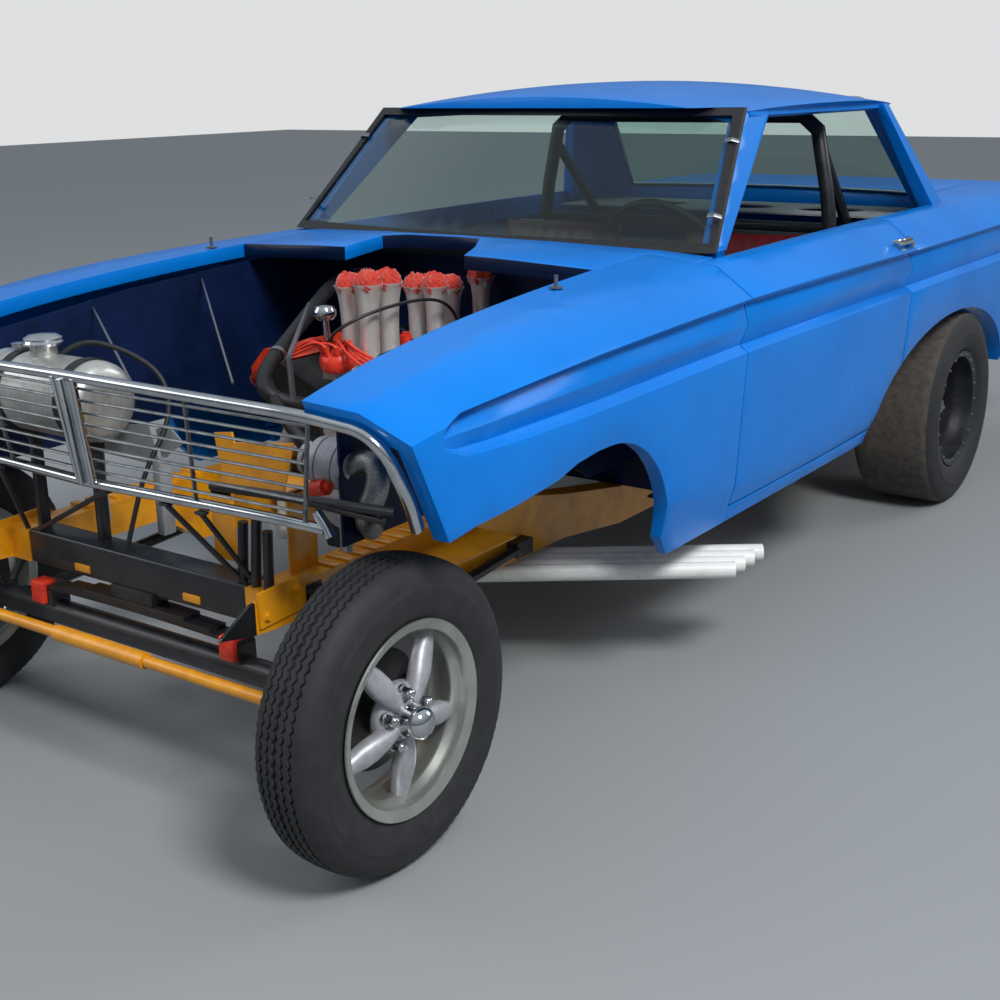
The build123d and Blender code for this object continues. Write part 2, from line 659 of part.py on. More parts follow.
def knuckle():
    """Left knuckle: kingpin, forked ears, spindle and steering arm."""
    y, z = FRONT_AXLE_Y, FRONT_TYRE_R
    half = KINGPIN_EYE_H / 2
    ear = 20.0
    back_x = KINGPIN_X + KINGPIN_EYE_R + 6
    shape = Pos(KINGPIN_X, y, z) * Cylinder(KINGPIN_R, KINGPIN_EYE_H + 2 * ear)
    shape += box(back_x, back_x + 24, y - 34, y + 34, z - half - ear, z + half + ear)
    for side in (-1, 1):
        mid = z + side * (half + RUNNING_GAP + ear / 2)
        shape += Pos(KINGPIN_X, y, mid) * Cylinder(KINGPIN_EYE_R - 2, ear)
        shape += box(KINGPIN_X, back_x + 4, y - 24, y + 24, mid - ear / 2, mid + ear / 2)
    shape += rod((back_x + 14, y, z), (FRONT_TYRE_X + 34, y, z), SPINDLE_R)
    arm_y = y - ARM_REACH
    arm_top = ARM_Z - TIE_EYE_H / 2 - RUNNING_GAP
    arm = prism_z([(back_x + 1, y - 18), (back_x + 24, y - 18), (KINGPIN_X + 17, arm_y), (KINGPIN_X - 17, arm_y),
                   (KINGPIN_X - 17, arm_y + 30)], arm_top - ARM_T, arm_top)
    arm += Pos(KINGPIN_X, arm_y, arm_top - ARM_T / 2) * Cylinder(17, ARM_T)
    stud_top = ARM_Z + TIE_EYE_H / 2 + 10
    stud = Pos(KINGPIN_X, arm_y, (arm_top + stud_top) / 2) * Cylinder(TIE_PIN_R, stud_top - arm_top)
    return shape + arm + stud


def tie_rod():
    """Steering tie rod, its eyes round the studs of both arms; the right eye is open."""
    y = FRONT_AXLE_Y - ARM_REACH
    eye_r = 19.0
    bar_end = KINGPIN_X - eye_r + 4
    shape = spar((-bar_end, y, ARM_Z), (bar_end, y, ARM_Z), TIE_ROD_R)
    shape += spar((-150, y, ARM_Z), (150, y, ARM_Z), TIE_ROD_R + 5)
    shape += both_sides(Pos(KINGPIN_X, y, ARM_Z) * Cylinder(eye_r, TIE_EYE_H))
    shape -= Pos(KINGPIN_X, y, ARM_Z) * Cylinder(TIE_PIN_R + RUNNING_GAP, 2 * TIE_EYE_H)
    return shape - Pos(-KINGPIN_X, y, ARM_Z) * Cylinder(TIE_PIN_R + 2 * RUNNING_GAP, 2 * TIE_EYE_H)


def front_spring():
    """Transverse leaf pack between the red blocks on the axle and the cross beam."""
    y = FRONT_AXLE_Y
    t = SPRING_LEAF_T
    halves = (336.0, 250.0, 170.0)
    end_z = FRONT_TYRE_R + SPRING_BLOCK_H
    mid_z = SPRING_TOP_Z - t * len(halves)
    pack = None
    for index, half in enumerate(halves):
        low_z = end_z + (mid_z - end_z) * (1 - (half / halves[0]) ** 2) + t * index
        top_z = mid_z + t * index
        arc = ThreePointArc((-half, y - 25, low_z), (0, y - 25, top_z), (half, y - 25, low_z))
        over = ThreePointArc((half, y - 25, low_z + t), (0, y - 25, top_z + t), (-half, y - 25, low_z + t))
        face = make_face([arc, Line(arc @ 1, over @ 0), over, Line(over @ 1, arc @ 0)])
        leaf = extrude(face, amount=50, dir=(0, 1, 0))
        pack = leaf if pack is None else pack + leaf
    return pack


def radius_rods():
    """Long rods that hold the axle, from its tube back to the rails."""
    y, z = FRONT_AXLE_Y + AXLE_TUBE_R, FRONT_TYRE_R
    side = RAIL_X + RAIL_W / 2
    arm = box(458, 486, y, y + 14, z - 15, z + 15) + spar((472, y + 8, z), (458, 230, 380), 14)
    return both_sides(arm + box(side, 472, 190, 260, 360, 400))


def front_shocks():
    """Telescopic dampers beside the rails, with their brackets."""
    side = RAIL_X + RAIL_W / 2
    y = FRONT_AXLE_Y
    top_z = FRONT_TYRE_R + AXLE_TUBE_R
    foot, head = (480.0, y, top_z + 10), (468.0, y + 104, 500.0)
    knee = Vector(*foot) + (Vector(*head) - Vector(*foot)) * 0.45
    shape = spar(tuple(knee), head, 20) + spar(foot, tuple(knee), 8)
    shape += box(472, 492, y - 14, y + 14, top_z, top_z + 18)
    shape += box(side, side + 8, head[1] - 24, head[1] + 24, 450, 516)
    return both_sides(shape + box(side, 492, head[1] - 24, head[1] + 24, 498, 506))


# Wheels

def tyre(x, y, radius, width, rim_r, bulge):
    """Tyre casing, square at the tread and full at the wall."""
    half = width / 2
    seat_half, edge = half * 0.72 - 2, half * 0.86
    side = [(rim_r, seat_half), (rim_r + 1.5, edge - 6), (rim_r + 15, edge - 2), (rim_r + 26, half - 2),
            ((radius + rim_r) / 2 + 6, half + bulge), (radius - 34, half - 1), (radius - 10, half - 12),
            (radius, half - 34)]
    profile = [(r, -along) for r, along in side] + side[::-1]
    return hooped(profile, x, y, radius, WHEEL_SIDES)


def wheel_barrel(x, y, z, rim_r, lip, half):
    """Rim of a wheel: a dropped barrel between two flared lips."""
    wall, seat_half, edge = 7.0, half * 0.72, half * 0.86
    side = [(rim_r, seat_half - 2), (rim_r + 1, edge - 4), (rim_r + 14, edge), (rim_r + lip, edge + 5),
            (rim_r + lip - 2, edge + 9), (rim_r + 10, edge + 4), (rim_r - 3, edge + 2),
            (rim_r - wall, seat_half - 2), (rim_r - wall - 12, seat_half * 0.5)]
    return hooped(side + [(r, -along) for r, along in reversed(side)], x, y, z, WHEEL_SIDES)


def front_wheel():
    """Left front wheel: five tapered spokes, barrel, hub, drum and dome."""
    x, y, z = FRONT_TYRE_X, FRONT_AXLE_Y, FRONT_TYRE_R
    shape = wheel_barrel(x, y, z, FRONT_RIM_R, FRONT_RIM_LIP, FRONT_TYRE_W / 2)
    shape += stacked([(60, 20), (58, 58), (30, 64), (26, 80), (14, 90)], x, y, z)
    for index in range(5):
        shape += Pos(x, y, z) * Rot(-90 + index * 72, 0, 0) * wheel_spoke(52, 26, FRONT_RIM_R - 8)
    shape += stacked([(44, -70), (44, 30)], x, y, z)
    shape += hooped([(40, -30), (128, -30), (128, -38), (40, -38)], x, y, z, 20)
    return shape - rod((x - 90, y, z), (x + 38, y, z), SPINDLE_R + RUNNING_GAP)


def wheel_spoke(root_w, tip_w, reach):
    """One spoke along +Y, its face ridged and dished towards the hub."""
    rings = []
    for r, width, back, front in ((30, root_w, 20, 56), (110, tip_w + 4, 14, 44), (reach, tip_w + 12, 6, 34)):
        ring = [(back, -width / 2), (front - 12, -width / 2), (front, -width / 6), (front, width / 6),
                (front - 12, width / 2), (back, width / 2)]
        rings.append(outline([(x, r, z) for x, z in ring]))
    return loft(rings, ruled=True)


def rear_wheel():
    """Left rear wheel: deep barrel, five broad spokes, drum and hub."""
    x, y, z = REAR_TYRE_X, REAR_AXLE_Y, REAR_TYRE_R
    half = REAR_TYRE_W / 2
    shape = wheel_barrel(x, y, z, REAR_RIM_R, REAR_RIM_LIP, half)
    shape += stacked([(76, 0), (74, 34), (34, 40), (26, 60)], x, y, z)
    for index in range(5):
        shape += Pos(x - 4, y, z) * Rot(90 + index * 72, 0, 0) * wheel_spoke(78, 60, REAR_RIM_R - 8)
    shape += stacked([(140, -60), (140, 6)], x, y, z)
    return shape - rod((x - 80, y, z), (x - 10, y, z), STUB_R + RUNNING_GAP)


# Rear axle

def rear_axle():
    """Live axle with its bulged centre housing."""
    y, z = REAR_AXLE_Y, REAR_TYRE_R
    shape = stacked([(42, -590), (42, 590)], 0, y, z)
    shape += stacked([(60, -130), (90, -110), (142, -60), (150, 0), (142, 60), (90, 110), (60, 130)], 0, y, z)
    shape += spar((0, y - 80, z), (0, y - PINION_L, z), 62)
    shape += both_sides(spar((580, y, z), (600, y, z), 80))
    return shape + both_sides(rod((598, y, z), (REAR_TYRE_X - 14, y, z), STUB_R))


def rear_springs():
    """Leaf springs under the axle, hung from the rails."""
    x0, x1 = 440.0, 500.0
    y, z = REAR_AXLE_Y, REAR_TYRE_R
    front = (1760.0, 330.0)
    back = (3170.0, 400.0)
    seat_z = z - 42.8
    points = [front, (y, seat_z - 14), back]
    arc = ThreePointArc((x0, points[0][0], points[0][1]), (x0, points[1][0], points[1][1]),
                        (x0, points[2][0], points[2][1]))
    over = ThreePointArc((x0, points[2][0], points[2][1] + 14), (x0, points[1][0], points[1][1] + 14),
                         (x0, points[0][0], points[0][1] + 14))
    face = make_face([arc, Line(arc @ 1, over @ 0), over, Line(over @ 1, arc @ 0)])
    leaf = extrude(face, amount=x1 - x0, dir=(1, 0, 0))
    front_eye = rod((RAIL_X + RAIL_W / 2, front[0], front[1] + 7), (x1, front[0], front[1] + 7), 20)
    shackle = box(x0, x1, back[0] - 16, back[0] + 16, back[1], 470)
    shackle += box(RAIL_X + RAIL_W / 2, x1, back[0] - 16, back[0] + 16, 440, 470)
    return both_sides(leaf + front_eye + shackle)


# Engine and driveline

def engine_block():
    """Vee block with heads, sump and bell housing."""
    z = CRANK_Z
    low, high = HEAD_FACE
    half = [(0, 300), (70, 250), (250, 330), high, low, (150, -60), (110, -166), (0, -166)]
    ring = half + [(-x, h) for x, h in reversed(half[1:-1])]
    block = prism_y([(x, z + h) for x, h in ring], ENGINE_Y0, ENGINE_Y1)
    bell = spar((0, ENGINE_Y1 - 2, z + 20), (0, BELL_END_Y, z + 20), 186)
    return block + bell + both_sides(box(140, RAIL_X - RAIL_W / 2, 178, 206, z - 60, z - 4))


def engine_covers():
    """Rocker covers on both heads."""
    z = CRANK_Z
    low, high = (336, z + 250), (256, z + 334)
    along = Vector(high[0] - low[0], 0, high[1] - low[1]).normalized()
    out = Vector(-along.Z, 0, along.X) * -1
    lift = 62.0
    ring = [low, high, (high[0] + out.X * lift * 0.6, high[1] + out.Z * lift * 0.6),
            (high[0] + out.X * lift - along.X * 20, high[1] + out.Z * lift - along.Z * 20),
            (low[0] + out.X * lift + along.X * 20, low[1] + out.Z * lift + along.Z * 20),
            (low[0] + out.X * lift * 0.6, low[1] + out.Z * lift * 0.6)]
    return both_sides(prism_y(ring, ENGINE_Y0 + 6, ENGINE_Y1 - 6))


def stack(x, y, top_z, foot_z):
    """One intake trumpet with a flared mouth, hollow from the top."""
    height = top_z - foot_z
    wall = 3.0
    upright = Rot(0, 0, 0)
    outside = [(STACK_R, 0), (STACK_R, height * 0.6), (STACK_R + 4, height * 0.85), (BELL_R, height)]
    inside = [(STACK_R - wall, height * 0.4), (STACK_R - wall, height * 0.6), (STACK_R + 1, height * 0.85),
              (BELL_R - wall, height + 0.01)]
    return stacked(outside, x, y, foot_z, upright, 12) - stacked(inside, x, y, foot_z, upright, 12)


def injection_stacks():
    """Manifold with two rows of trumpets and one spare trumpet behind."""
    foot = 800.0
    low = CRANK_Z + 300
    tray = prism_y([(-110, low), (110, low), (84, foot + 20), (-84, foot + 20)], STACK_Y[0] - 50, STACK_Y[3] + 50)
    rows = tray
    for y in STACK_Y:
        for side in (-1, 1):
            rows += stack(side * STACK_X, y, STACK_TOP_Z, foot + 18)
    x, y, top = SPARE_STACK
    rows += stack(x, y, top, foot + 60)
    rows += box(x - 30, x + 30, STACK_Y[3] + 40, y + 24, foot - 10, foot + 62)
    return rows


def engine_front():
    """Pulleys, water pump and alternator ahead of the block."""
    z, y = CRANK_Z, ENGINE_Y0
    shape = spar((0, y, z), (0, y - 90, z), 82)
    shape += spar((0, y, z + 190), (0, y - 90, z + 190), 70)
    shape += box(-50, 50, y - 60, y, z, z + 190)
    shape += spar((210, y - 96, z + 210), (210, y - 6, z + 210), 62)
    return shape + bar((30, y - 30, z + 190), (210, y - 30, z + 210), 12, 30)


def headers():
    """Left four exhaust tubes, down from the ports and out in one flat row."""
    low, high = HEAD_FACE
    share = 0.46
    port_x = low[0] + (high[0] - low[0]) * share
    port_z = CRANK_Z + low[1] + (high[1] - low[1]) * share
    out = Vector(high[1] - low[1], 0, low[0] - high[0]).normalized() * 72
    down_x = port_x + out.X
    tubes = None
    for index, port_y in enumerate(PORT_Y):
        tip_y = HEADER_TIP[1] + index * HEADER_PITCH
        run_y = tip_y - (HEADER_TIP[0] - down_x) * HEADER_HEADING[1] / HEADER_HEADING[0]
        points = [(port_x, port_y, port_z), (down_x, port_y, port_z + out.Z), (down_x, run_y, HEADER_Z),
                  (HEADER_TIP[0], tip_y, HEADER_Z)]
        tube = pipe(points, HEADER_R, 40)
        tubes = tube if tubes is None else tubes + tube
    return tubes


def driveline():
    """Gearbox and propeller shaft."""
    z, y0 = CRANK_Z, BELL_END_Y
    tail_z = gearbox_tail_z()
    ends = [(y0, z, 150), (y0 + 330, tail_z, 96)]
    case = loft([Pos(0, y, h) * Rot(90, 0, 0) * flats(r, 20) for y, h, r in ends], ruled=True)
    tail = spar((0, y0 + 328, tail_z), (0, y0 + GEARBOX_L, tail_z), GEARBOX_TAIL_R)
    shaft = spar((0, y0 + GEARBOX_L - 8, tail_z), (0, REAR_AXLE_Y - PINION_L - 8, REAR_TYRE_R), 36)
    return case + tail + shaft


def gearbox_tail_z():
    """Height of the gearbox's output."""
    return CRANK_Z - 20


# Front end

def strip(points, width, height):
    """A bright moulding: a box section carried straight across through points and their mirror."""
    chain = [(-x, y, z) for x, y, z in reversed(points[1:])] + points
    rings = []
    for x, y, z in chain:
        w, h = width / 2, height / 2
        rings.append(outline([(x, y - w, z - h), (x, y + w, z - h), (x, y + w, z + h), (x, y - w, z + h)]))
    return loft(rings, ruled=True)


def grille():
    """Bright mouldings, the centre divider, end posts and the thin bars between."""
    shape = strip(GRILLE_TOP, 30, MOULDING_H)
    shape += strip(GRILLE_BOTTOM, 26, MOULDING_H)
    low, high = GRILLE_BOTTOM[0], GRILLE_TOP[0]
    for index in range(GRILLE_BARS):
        share = (index + 1) / (GRILLE_BARS + 1)
        y = low[1] + (high[1] - low[1]) * share + 6
        z = low[2] + (high[2] - low[2]) * share
        end_x = GRILLE_POST[0][0] * (1 - share) + GRILLE_POST[1][0] * share
        shape += strip([(0.0, y, z), (end_x, y + 22 + 8 * share, z - 8 * share)], 10, 5)
    for run, half_x in ((GRILLE_HOOK, 13.0), (GRILLE_POST, 6.0)):
        rings = [outline([(x - half_x, y - 13, z), (x + half_x, y - 13, z), (x + half_x, y + 13, z),
                          (x - half_x, y + 13, z)]) for x, y, z in run]
        shape += both_sides(loft(rings, ruled=True))
    divider = [outline([(-half, y, z), (0, y - 14, z), (half, y, z), (0, y + 26, z)])
               for half, y, z in ((24, low[1] - 8, low[2] - 8), (32, high[1] - 8, high[2] + 6))]
    return shape + loft(divider, ruled=True)


def fuel_tank():
    """Spun tank across the nose, with filler neck and cap."""
    x, y, z = TANK_CENTRE
    half = TANK_L / 2
    shape = stacked([(TANK_R - 42, -half), (TANK_R - 8, -half + 22), (TANK_R, -half + 46), (TANK_R, half - 46),
                     (TANK_R - 8, half - 22), (TANK_R - 42, half)], x, y, z)
    shape += spar((x - 60, y, z + TANK_R - 8), (x - 60, y, z + TANK_R + 36), 30)
    shape += spar((x - 150, y, z + TANK_R - 12), (x - 150, y, z + TANK_R + 22), 18)
    return shape + spar((x - 60, y, z + TANK_R + 34), (x - 60, y, z + TANK_R + 56), 40)


# Inside

def roll_cage():
    """Main hoop and its rear stays."""
    r = 22.0
    floor = FLOOR_Z + FLOOR_T
    half = [(590, 1900, floor), (590, 1900, 640), (560, 1900, 1120), (500, 1900, 1404)]
    hoop = pipe(half + [(-x, y, z) for x, y, z in reversed(half)], r, 44)
    stays = both_sides(spar((520, 1904, 1310), (500, 2560, REAR_FLOOR_Z + FLOOR_T + 14), r - 4))
    stays += both_sides(box(460, 540, 2520, 2600, REAR_FLOOR_Z + FLOOR_T, REAR_FLOOR_Z + FLOOR_T + 10))
    brace = spar((-570, 1900, 1040), (570, 1900, 1040), r - 4)
    return hoop + stays + brace


def dash_panel(column):
    """Padded dash across the cabin, between the front posts."""
    panel = prism_x([(735, 880), (735, 1080), (800, 1090), (900, 1060), (912, 960), (860, 890)], -690, 690)
    return panel - column


def steering_wheel():
    """Rim, spokes and column on the driver's side."""
    centre = Vector(360, 1130, 1010)
    tilt = Vector(0, 1, 0.42).normalized()
    plane = Plane(origin=centre, x_dir=(1, 0, 0), z_dir=tilt)
    rim = plane * Rot(0, -90, 0) * hooped([(178, -7), (178, 7), (186, 12), (196, 12), (203, 0), (196, -12),
                                           (186, -12)], 0, 0, 0)
    hub = plane * extrude(flats(34), amount=15, both=True)
    spokes = plane * Box(372, 26, 8)
    foot = centre - tilt * 290
    column = spar(tuple(foot), tuple(centre), 22)
    return rim + hub + spokes + column


def seat():
    """Left bucket seat."""
    x0, x1 = 140.0, 600.0
    floor = FLOOR_Z + FLOOR_T
    side = [(1180, floor), (1180, 560), (1220, 610), (1560, 590), (1660, 1050), (1720, 1066), (1776, 1040),
            (1660, 560), (1640, floor)]
    return prism_x(side, x0, x1)


# Rear end

def rear_bumper():
    """Bright bar across the tail with wrapped ends."""
    y0, y1 = BUMPER_END_Y - 46, BUMPER_END_Y
    section = [(y0, 560), (y1 - 14, 556), (y1, 600), (y1 - 4, 650), (y1 - 16, 680), (y0, 676)]
    beam = prism_x(section, -800, 800)
    ends = both_sides(prism_z([(800, y0), (800, y1), (868, y1 - 40), (902, y1 - 150), (908, y1 - 250),
                               (860, y1 - 250), (850, y1 - 150)], 562, 674))
    irons = both_sides(box(380, 440, REAR_FACE_Y, y0 + 4, 590, 640))
    return beam + ends + irons - body_form()


def tail_lamps():
    """Round lamps in the tail wall."""
    lamp = Pos(0, REAR_FACE_Y, 0) * spar((650, 0, 830), (650, 34, 830), 88)
    inner = Pos(0, REAR_FACE_Y, 0) * spar((650, 30, 830), (650, 48, 830), 40)
    return both_sides(lamp + inner)


def write(name, shape):
    """Write one piece, moved to the origin below the middle of the car."""
    export_step(Pos(0, -ORIGIN_Y, 0) * shape, f"parts/{name}.step")


def main():
    os.makedirs("parts", exist_ok=True)
    cutters = both_sides(cove_cutter()) + front_arch_cutter() + rear_arch_cutter()
    thin = skin(FENDER_WALL, cutters)
    thick = skin(DOOR_WALL, cutters)
    cabin = cabin_opening()
    roof = roof_panel()
    column = steering_wheel()
    pairs = {
        "fender": fender(thin),
        "door": door(thick),
        "door_handle": door_handle(),
        "sill": sill(thick),
        "quarter": quarter(thick, cabin, roof),
        "knuckle": knuckle(),
        "front_wheel": front_wheel(),
        "front_tyre": tyre(FRONT_TYRE_X, FRONT_AXLE_Y, FRONT_TYRE_R, FRONT_TYRE_W, FRONT_RIM_R, 3),
        "rear_wheel": rear_wheel(),
        "rear_tyre": tyre(REAR_TYRE_X, REAR_AXLE_Y, REAR_TYRE_R, REAR_TYRE_W, REAR_RIM_R, 6),
        "headers": headers(),
    }
    singles = {
        "cowl_panel": cowl_panel(cabin),
        "trunk_lid": trunk_lid(),
        "tail_panel": tail_panel(thick, cabin, roof),
        "roof_panel": roof,
        "windshield": windshield(),
        "windshield_trim": windshield_trim(),
        "rear_glass": rear_glass(),
        "floor_pan": floor_pan(pairs["sill"]),
        "firewall": firewall(),
        "rear_shelf": rear_shelf(),
        "chassis_frame": chassis_frame(),
        "front_crossmember": front_crossmember(),
        "front_axle": front_axle(),
        "tie_rod": tie_rod(),
        "front_spring": front_spring(),
        "radius_rods": radius_rods(),
        "front_shocks": front_shocks(),
        "rear_axle": rear_axle(),
        "rear_springs": rear_springs(),
        "engine_block": engine_block(),
        "engine_covers": engine_covers(),
        "injection_stacks": injection_stacks(),
        "engine_front": engine_front(),
        "driveline": driveline(),
        "grille": grille() - both_sides(pairs["fender"]),
        "fuel_tank": fuel_tank(),
        "roll_cage": roll_cage(),
        "dash_panel": dash_panel(column),
        "steering_wheel": column,
        "seats": both_sides(seat()),
        "rear_bumper": rear_bumper(),
        "tail_lamps": tail_lamps(),
    }
    for name, shape in pairs.items():
        write(name + "_left", shape)
        write(name + "_right", other_side(shape))
    for name, shape in singles.items():
        write(name, shape)


main()
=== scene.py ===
import math

import bmesh
import bpy
from mathutils import Matrix, Vector


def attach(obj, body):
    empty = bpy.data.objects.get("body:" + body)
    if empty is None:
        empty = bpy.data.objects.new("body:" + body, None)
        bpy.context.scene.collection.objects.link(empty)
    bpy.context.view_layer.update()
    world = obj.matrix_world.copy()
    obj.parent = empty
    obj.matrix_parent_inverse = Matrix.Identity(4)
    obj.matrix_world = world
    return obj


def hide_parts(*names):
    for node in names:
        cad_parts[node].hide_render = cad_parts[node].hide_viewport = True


bl_info = {
    "name": "Drag-strip compact car",
    "version": (1, 0, 0),
    "blender": (4, 5, 0),
    "location": "View3D > Sidebar > Drag car",
    "description": "Dresses the packed car with finishes, wheels, engine parts and trim",
    "category": "Object",
}

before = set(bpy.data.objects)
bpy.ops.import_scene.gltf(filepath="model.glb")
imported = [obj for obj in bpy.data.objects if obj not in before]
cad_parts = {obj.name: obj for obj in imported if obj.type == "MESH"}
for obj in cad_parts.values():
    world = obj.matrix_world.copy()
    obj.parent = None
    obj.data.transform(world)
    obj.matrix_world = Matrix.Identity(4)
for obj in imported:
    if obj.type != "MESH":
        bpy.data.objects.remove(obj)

MM = 0.001
# Middle of the old front wheel arch, in the scene's metres: the car's own drawing measures y from there
DRAWING_Y = -1.416
# Ahead of this place, in the scene's metres, the frame plates are black
FRAME_BLACK_Y = -2.123
# Middles of the left wheels, in the drawing's millimetres, as all places below are that name no other unit
FRONT_WHEEL = (728.0, -642.0, 327.0)
REAR_WHEEL = (737.0, 2466.0, 352.0)
# Trumpets: place of each, its rim and its foot; left bank, right bank and the single one behind
TRUMPETS = [(40, 150, 1040, 818), (40, 232, 1035, 818), (40, 430, 1000, 818), (40, 498, 988, 818),
            (-40, 168, 1028, 818), (-40, 250, 1024, 818), (-40, 449, 992, 818), (-40, 517, 984, 818),
            (45, 636, 1000, 860)]
# Front tyre, in metres: its grooved band, and where its shoulder blocks begin and end and how deep they are cut
BAND_R, BAND_HALF = 0.316, 0.0425
SHOULDER_R, BLOCK_CUT = (0.3075, 0.3222), 0.0028
# The same tyre is spun in this many steps, so that one step is half a zigzag of its grooves
TREAD_STEPS = 180
# Cloth in a trumpet's mouth: its radius in metres, and how far its folds swell it
CLOTH_R, CLOTH_FOLD, CLOTH_LIFT = 0.035, 0.11, 0.16
# Middle of the round tank, which lies across the car, and its straps
TANK = (-270, -612, 860)
TANK_STRAPS_X = (-360, -140)
# Spark plugs of each bank, from the front
SPARK_PORTS_Y = (158, 270, 438, 550)
# Middle of the left tail lamp
LAMP_X, LAMP_Y, LAMP_Z = 650, 3720, 830
# Places of the two hood pins, and place across, height and radius of each gauge
HOOD_PINS = [(648, 105, 1086), (-634, 251, 1094)]
GAUGES = [(250, 1008, 34), (360, 1010, 52), (470, 1008, 34), (0, 1006, 30), (90, 1006, 30)]
SEAT_X = 370
# Seat shells, in metres: behind the first place and above the second, they lean back by this share of their height
SEAT_BACK_Y, SEAT_BEND_Z, SEAT_LEAN = 1.65, 0.53, 0.12
# Sewn channels of a seat pad: their places across it, depth and width, as shares of its half size
CHANNELS, CHANNEL_DEPTH, CHANNEL_WIDTH = (-0.6, -0.36, -0.12, 0.12, 0.36, 0.6), 0.17, 0.035
# Name, place, aim, size and power of each lamp, in metres and watts
LAMPS = [("key_lamp", (6.0, -4.0, 7.0), (0.3, -0.6, 0.4), 2.5, 640),
         ("fill_lamp", (-6.5, -6.0, 4.5), (0, -0.5, 0.5), 5.0, 130),
         ("back_lamp", (6.0, 7.0, 5.0), (0, 0.5, 0.6), 4.0, 170)]
# Camera: place in metres, yaw, pitch and roll in degrees, and lens in millimetres
CAMERA_PLACE, CAMERA_TURN, CAMERA_LENS = (2.414, -4.019, 1.548), (-35.54, -16.83, -0.94), 50.5
# Vertices nearer than this, in metres, become one
NEAR = 1e-5
# Directions: upwards and towards the tail
UP, BACK = (0, 0, 1), (0, 1, 0)
# The bay colour is the body blue darkened as painted shade, with some dust.
BLUE, BAY_SHADE, ORANGE, BLACK = "0078D6", "031634", "E3980F", "15171A"
SIDES = (("left", 1), ("right", -1))


def at(x, y, z):
    """A place in the car's drawing, in millimetres, as a place in the scene."""
    return Vector((x * MM, y * MM + DRAWING_Y, z * MM))


def linear(code):
    """sRGB hex to linear colour with full alpha."""
    parts = [int(code[i:i + 2], 16) / 255 for i in (0, 2, 4)]
    return (*[c / 12.92 if c <= 0.04045 else ((c + 0.055) / 1.055) ** 2.4 for c in parts], 1.0)


# Materials, and the slot that a piece of each takes unless it says another

MATERIALS = {}


def node(tree, kind, settings=None, links=None):
    """One shader node with its settings and what feeds it."""
    made = tree.nodes.new(kind)
    for key, value in (settings or {}).items():
        if isinstance(key, str) and hasattr(made, key):
            setattr(made, key, value)
        else:
            made.inputs[key].default_value = value
    for key, source in (links or {}).items():
        tree.links.new(source, made.inputs[key])
    return made


def finish(name, code, rough, metal=0.0, coat=0.0, grain=1.0, depth=0.02, tint=None, patch=60.0,
           share=0.5, kind="noise", stretch=(1, 1, 1), rough_spread=0.08, sheen=0.0, gloss=0.5):
    """A material: grain size, grain depth and patch size in millimetres, with a second colour in patches."""
    material = bpy.data.materials.new(name)
    material.use_nodes = True
    tree = material.node_tree
    shader = tree.nodes["Principled BSDF"]
    place = node(tree, "ShaderNodeTexCoord")
    mapped = node(tree, "ShaderNodeMapping", {"Scale": stretch}, {"Vector": place.outputs["Object"]})
    patches = node(tree, "ShaderNodeTexNoise", {"Scale": 1 / (patch * MM), "Detail": 4.0, "Roughness": 0.6},
                   {"Vector": mapped.outputs["Vector"]})
    if kind == "cells":
        fine = node(tree, "ShaderNodeTexVoronoi", {"Scale": 1 / (grain * MM)},
                    {"Vector": mapped.outputs["Vector"]}).outputs["Distance"]
    else:
        fine = node(tree, "ShaderNodeTexNoise", {"Scale": 1 / (grain * MM), "Detail": 3.0},
                    {"Vector": mapped.outputs["Vector"]}).outputs["Fac"]
    if tint:
        ramp = node(tree, "ShaderNodeMapRange", {"From Min": share - 0.12, "From Max": share + 0.2},
                    {"Value": patches.outputs["Fac"]})
        mixed = node(tree, "ShaderNodeMix", {"data_type": "RGBA"}, {0: ramp.outputs["Result"]})
        mixed.inputs[6].default_value = linear(code)
        mixed.inputs[7].default_value = linear(tint)
        tree.links.new(mixed.outputs[2], shader.inputs["Base Color"])
    else:
        shader.inputs["Base Color"].default_value = linear(code)
    wear = node(tree, "ShaderNodeMapRange", {"To Min": max(rough - rough_spread, 0.02),
                                             "To Max": min(rough + rough_spread, 1.0)},
                {"Value": patches.outputs["Fac"]})
    tree.links.new(wear.outputs["Result"], shader.inputs["Roughness"])
    for key, value in (("Metallic", metal), ("Coat Weight", coat), ("Coat Roughness", 0.04),
                       ("Sheen Weight", sheen), ("Specular IOR Level", gloss)):
        shader.inputs[key].default_value = value
    bump = node(tree, "ShaderNodeBump", {"Strength": 1.0, "Distance": depth * MM}, {"Height": fine})
    tree.links.new(bump.outputs["Normal"], shader.inputs["Normal"])
    return material


def window_glass(name, tone):
    """Clear glass: mostly see-through with a plain gloss, so the cabin shows."""
    material = bpy.data.materials.new(name)
    material.use_nodes = True
    tree = material.node_tree
    tree.nodes.remove(tree.nodes["Principled BSDF"])
    clear = node(tree, "ShaderNodeBsdfTransparent", {"Color": linear(tone)})
    gloss = node(tree, "ShaderNodeBsdfGlossy", {"Roughness": 0.02, "Color": (1, 1, 1, 1)})
    facing = node(tree, "ShaderNodeLayerWeight", {"Blend": 0.5})
    share = node(tree, "ShaderNodeMapRange", {"From Min": 0.4, "To Min": 0.03, "To Max": 0.35},
                 {"Value": facing.outputs["Facing"]})
    mix = node(tree, "ShaderNodeMixShader", {}, {0: share.outputs["Result"], 1: clear.outputs["BSDF"],
                                                 2: gloss.outputs["BSDF"]})
    tree.links.new(mix.outputs["Shader"], tree.nodes["Material Output"].inputs["Surface"])
    return material


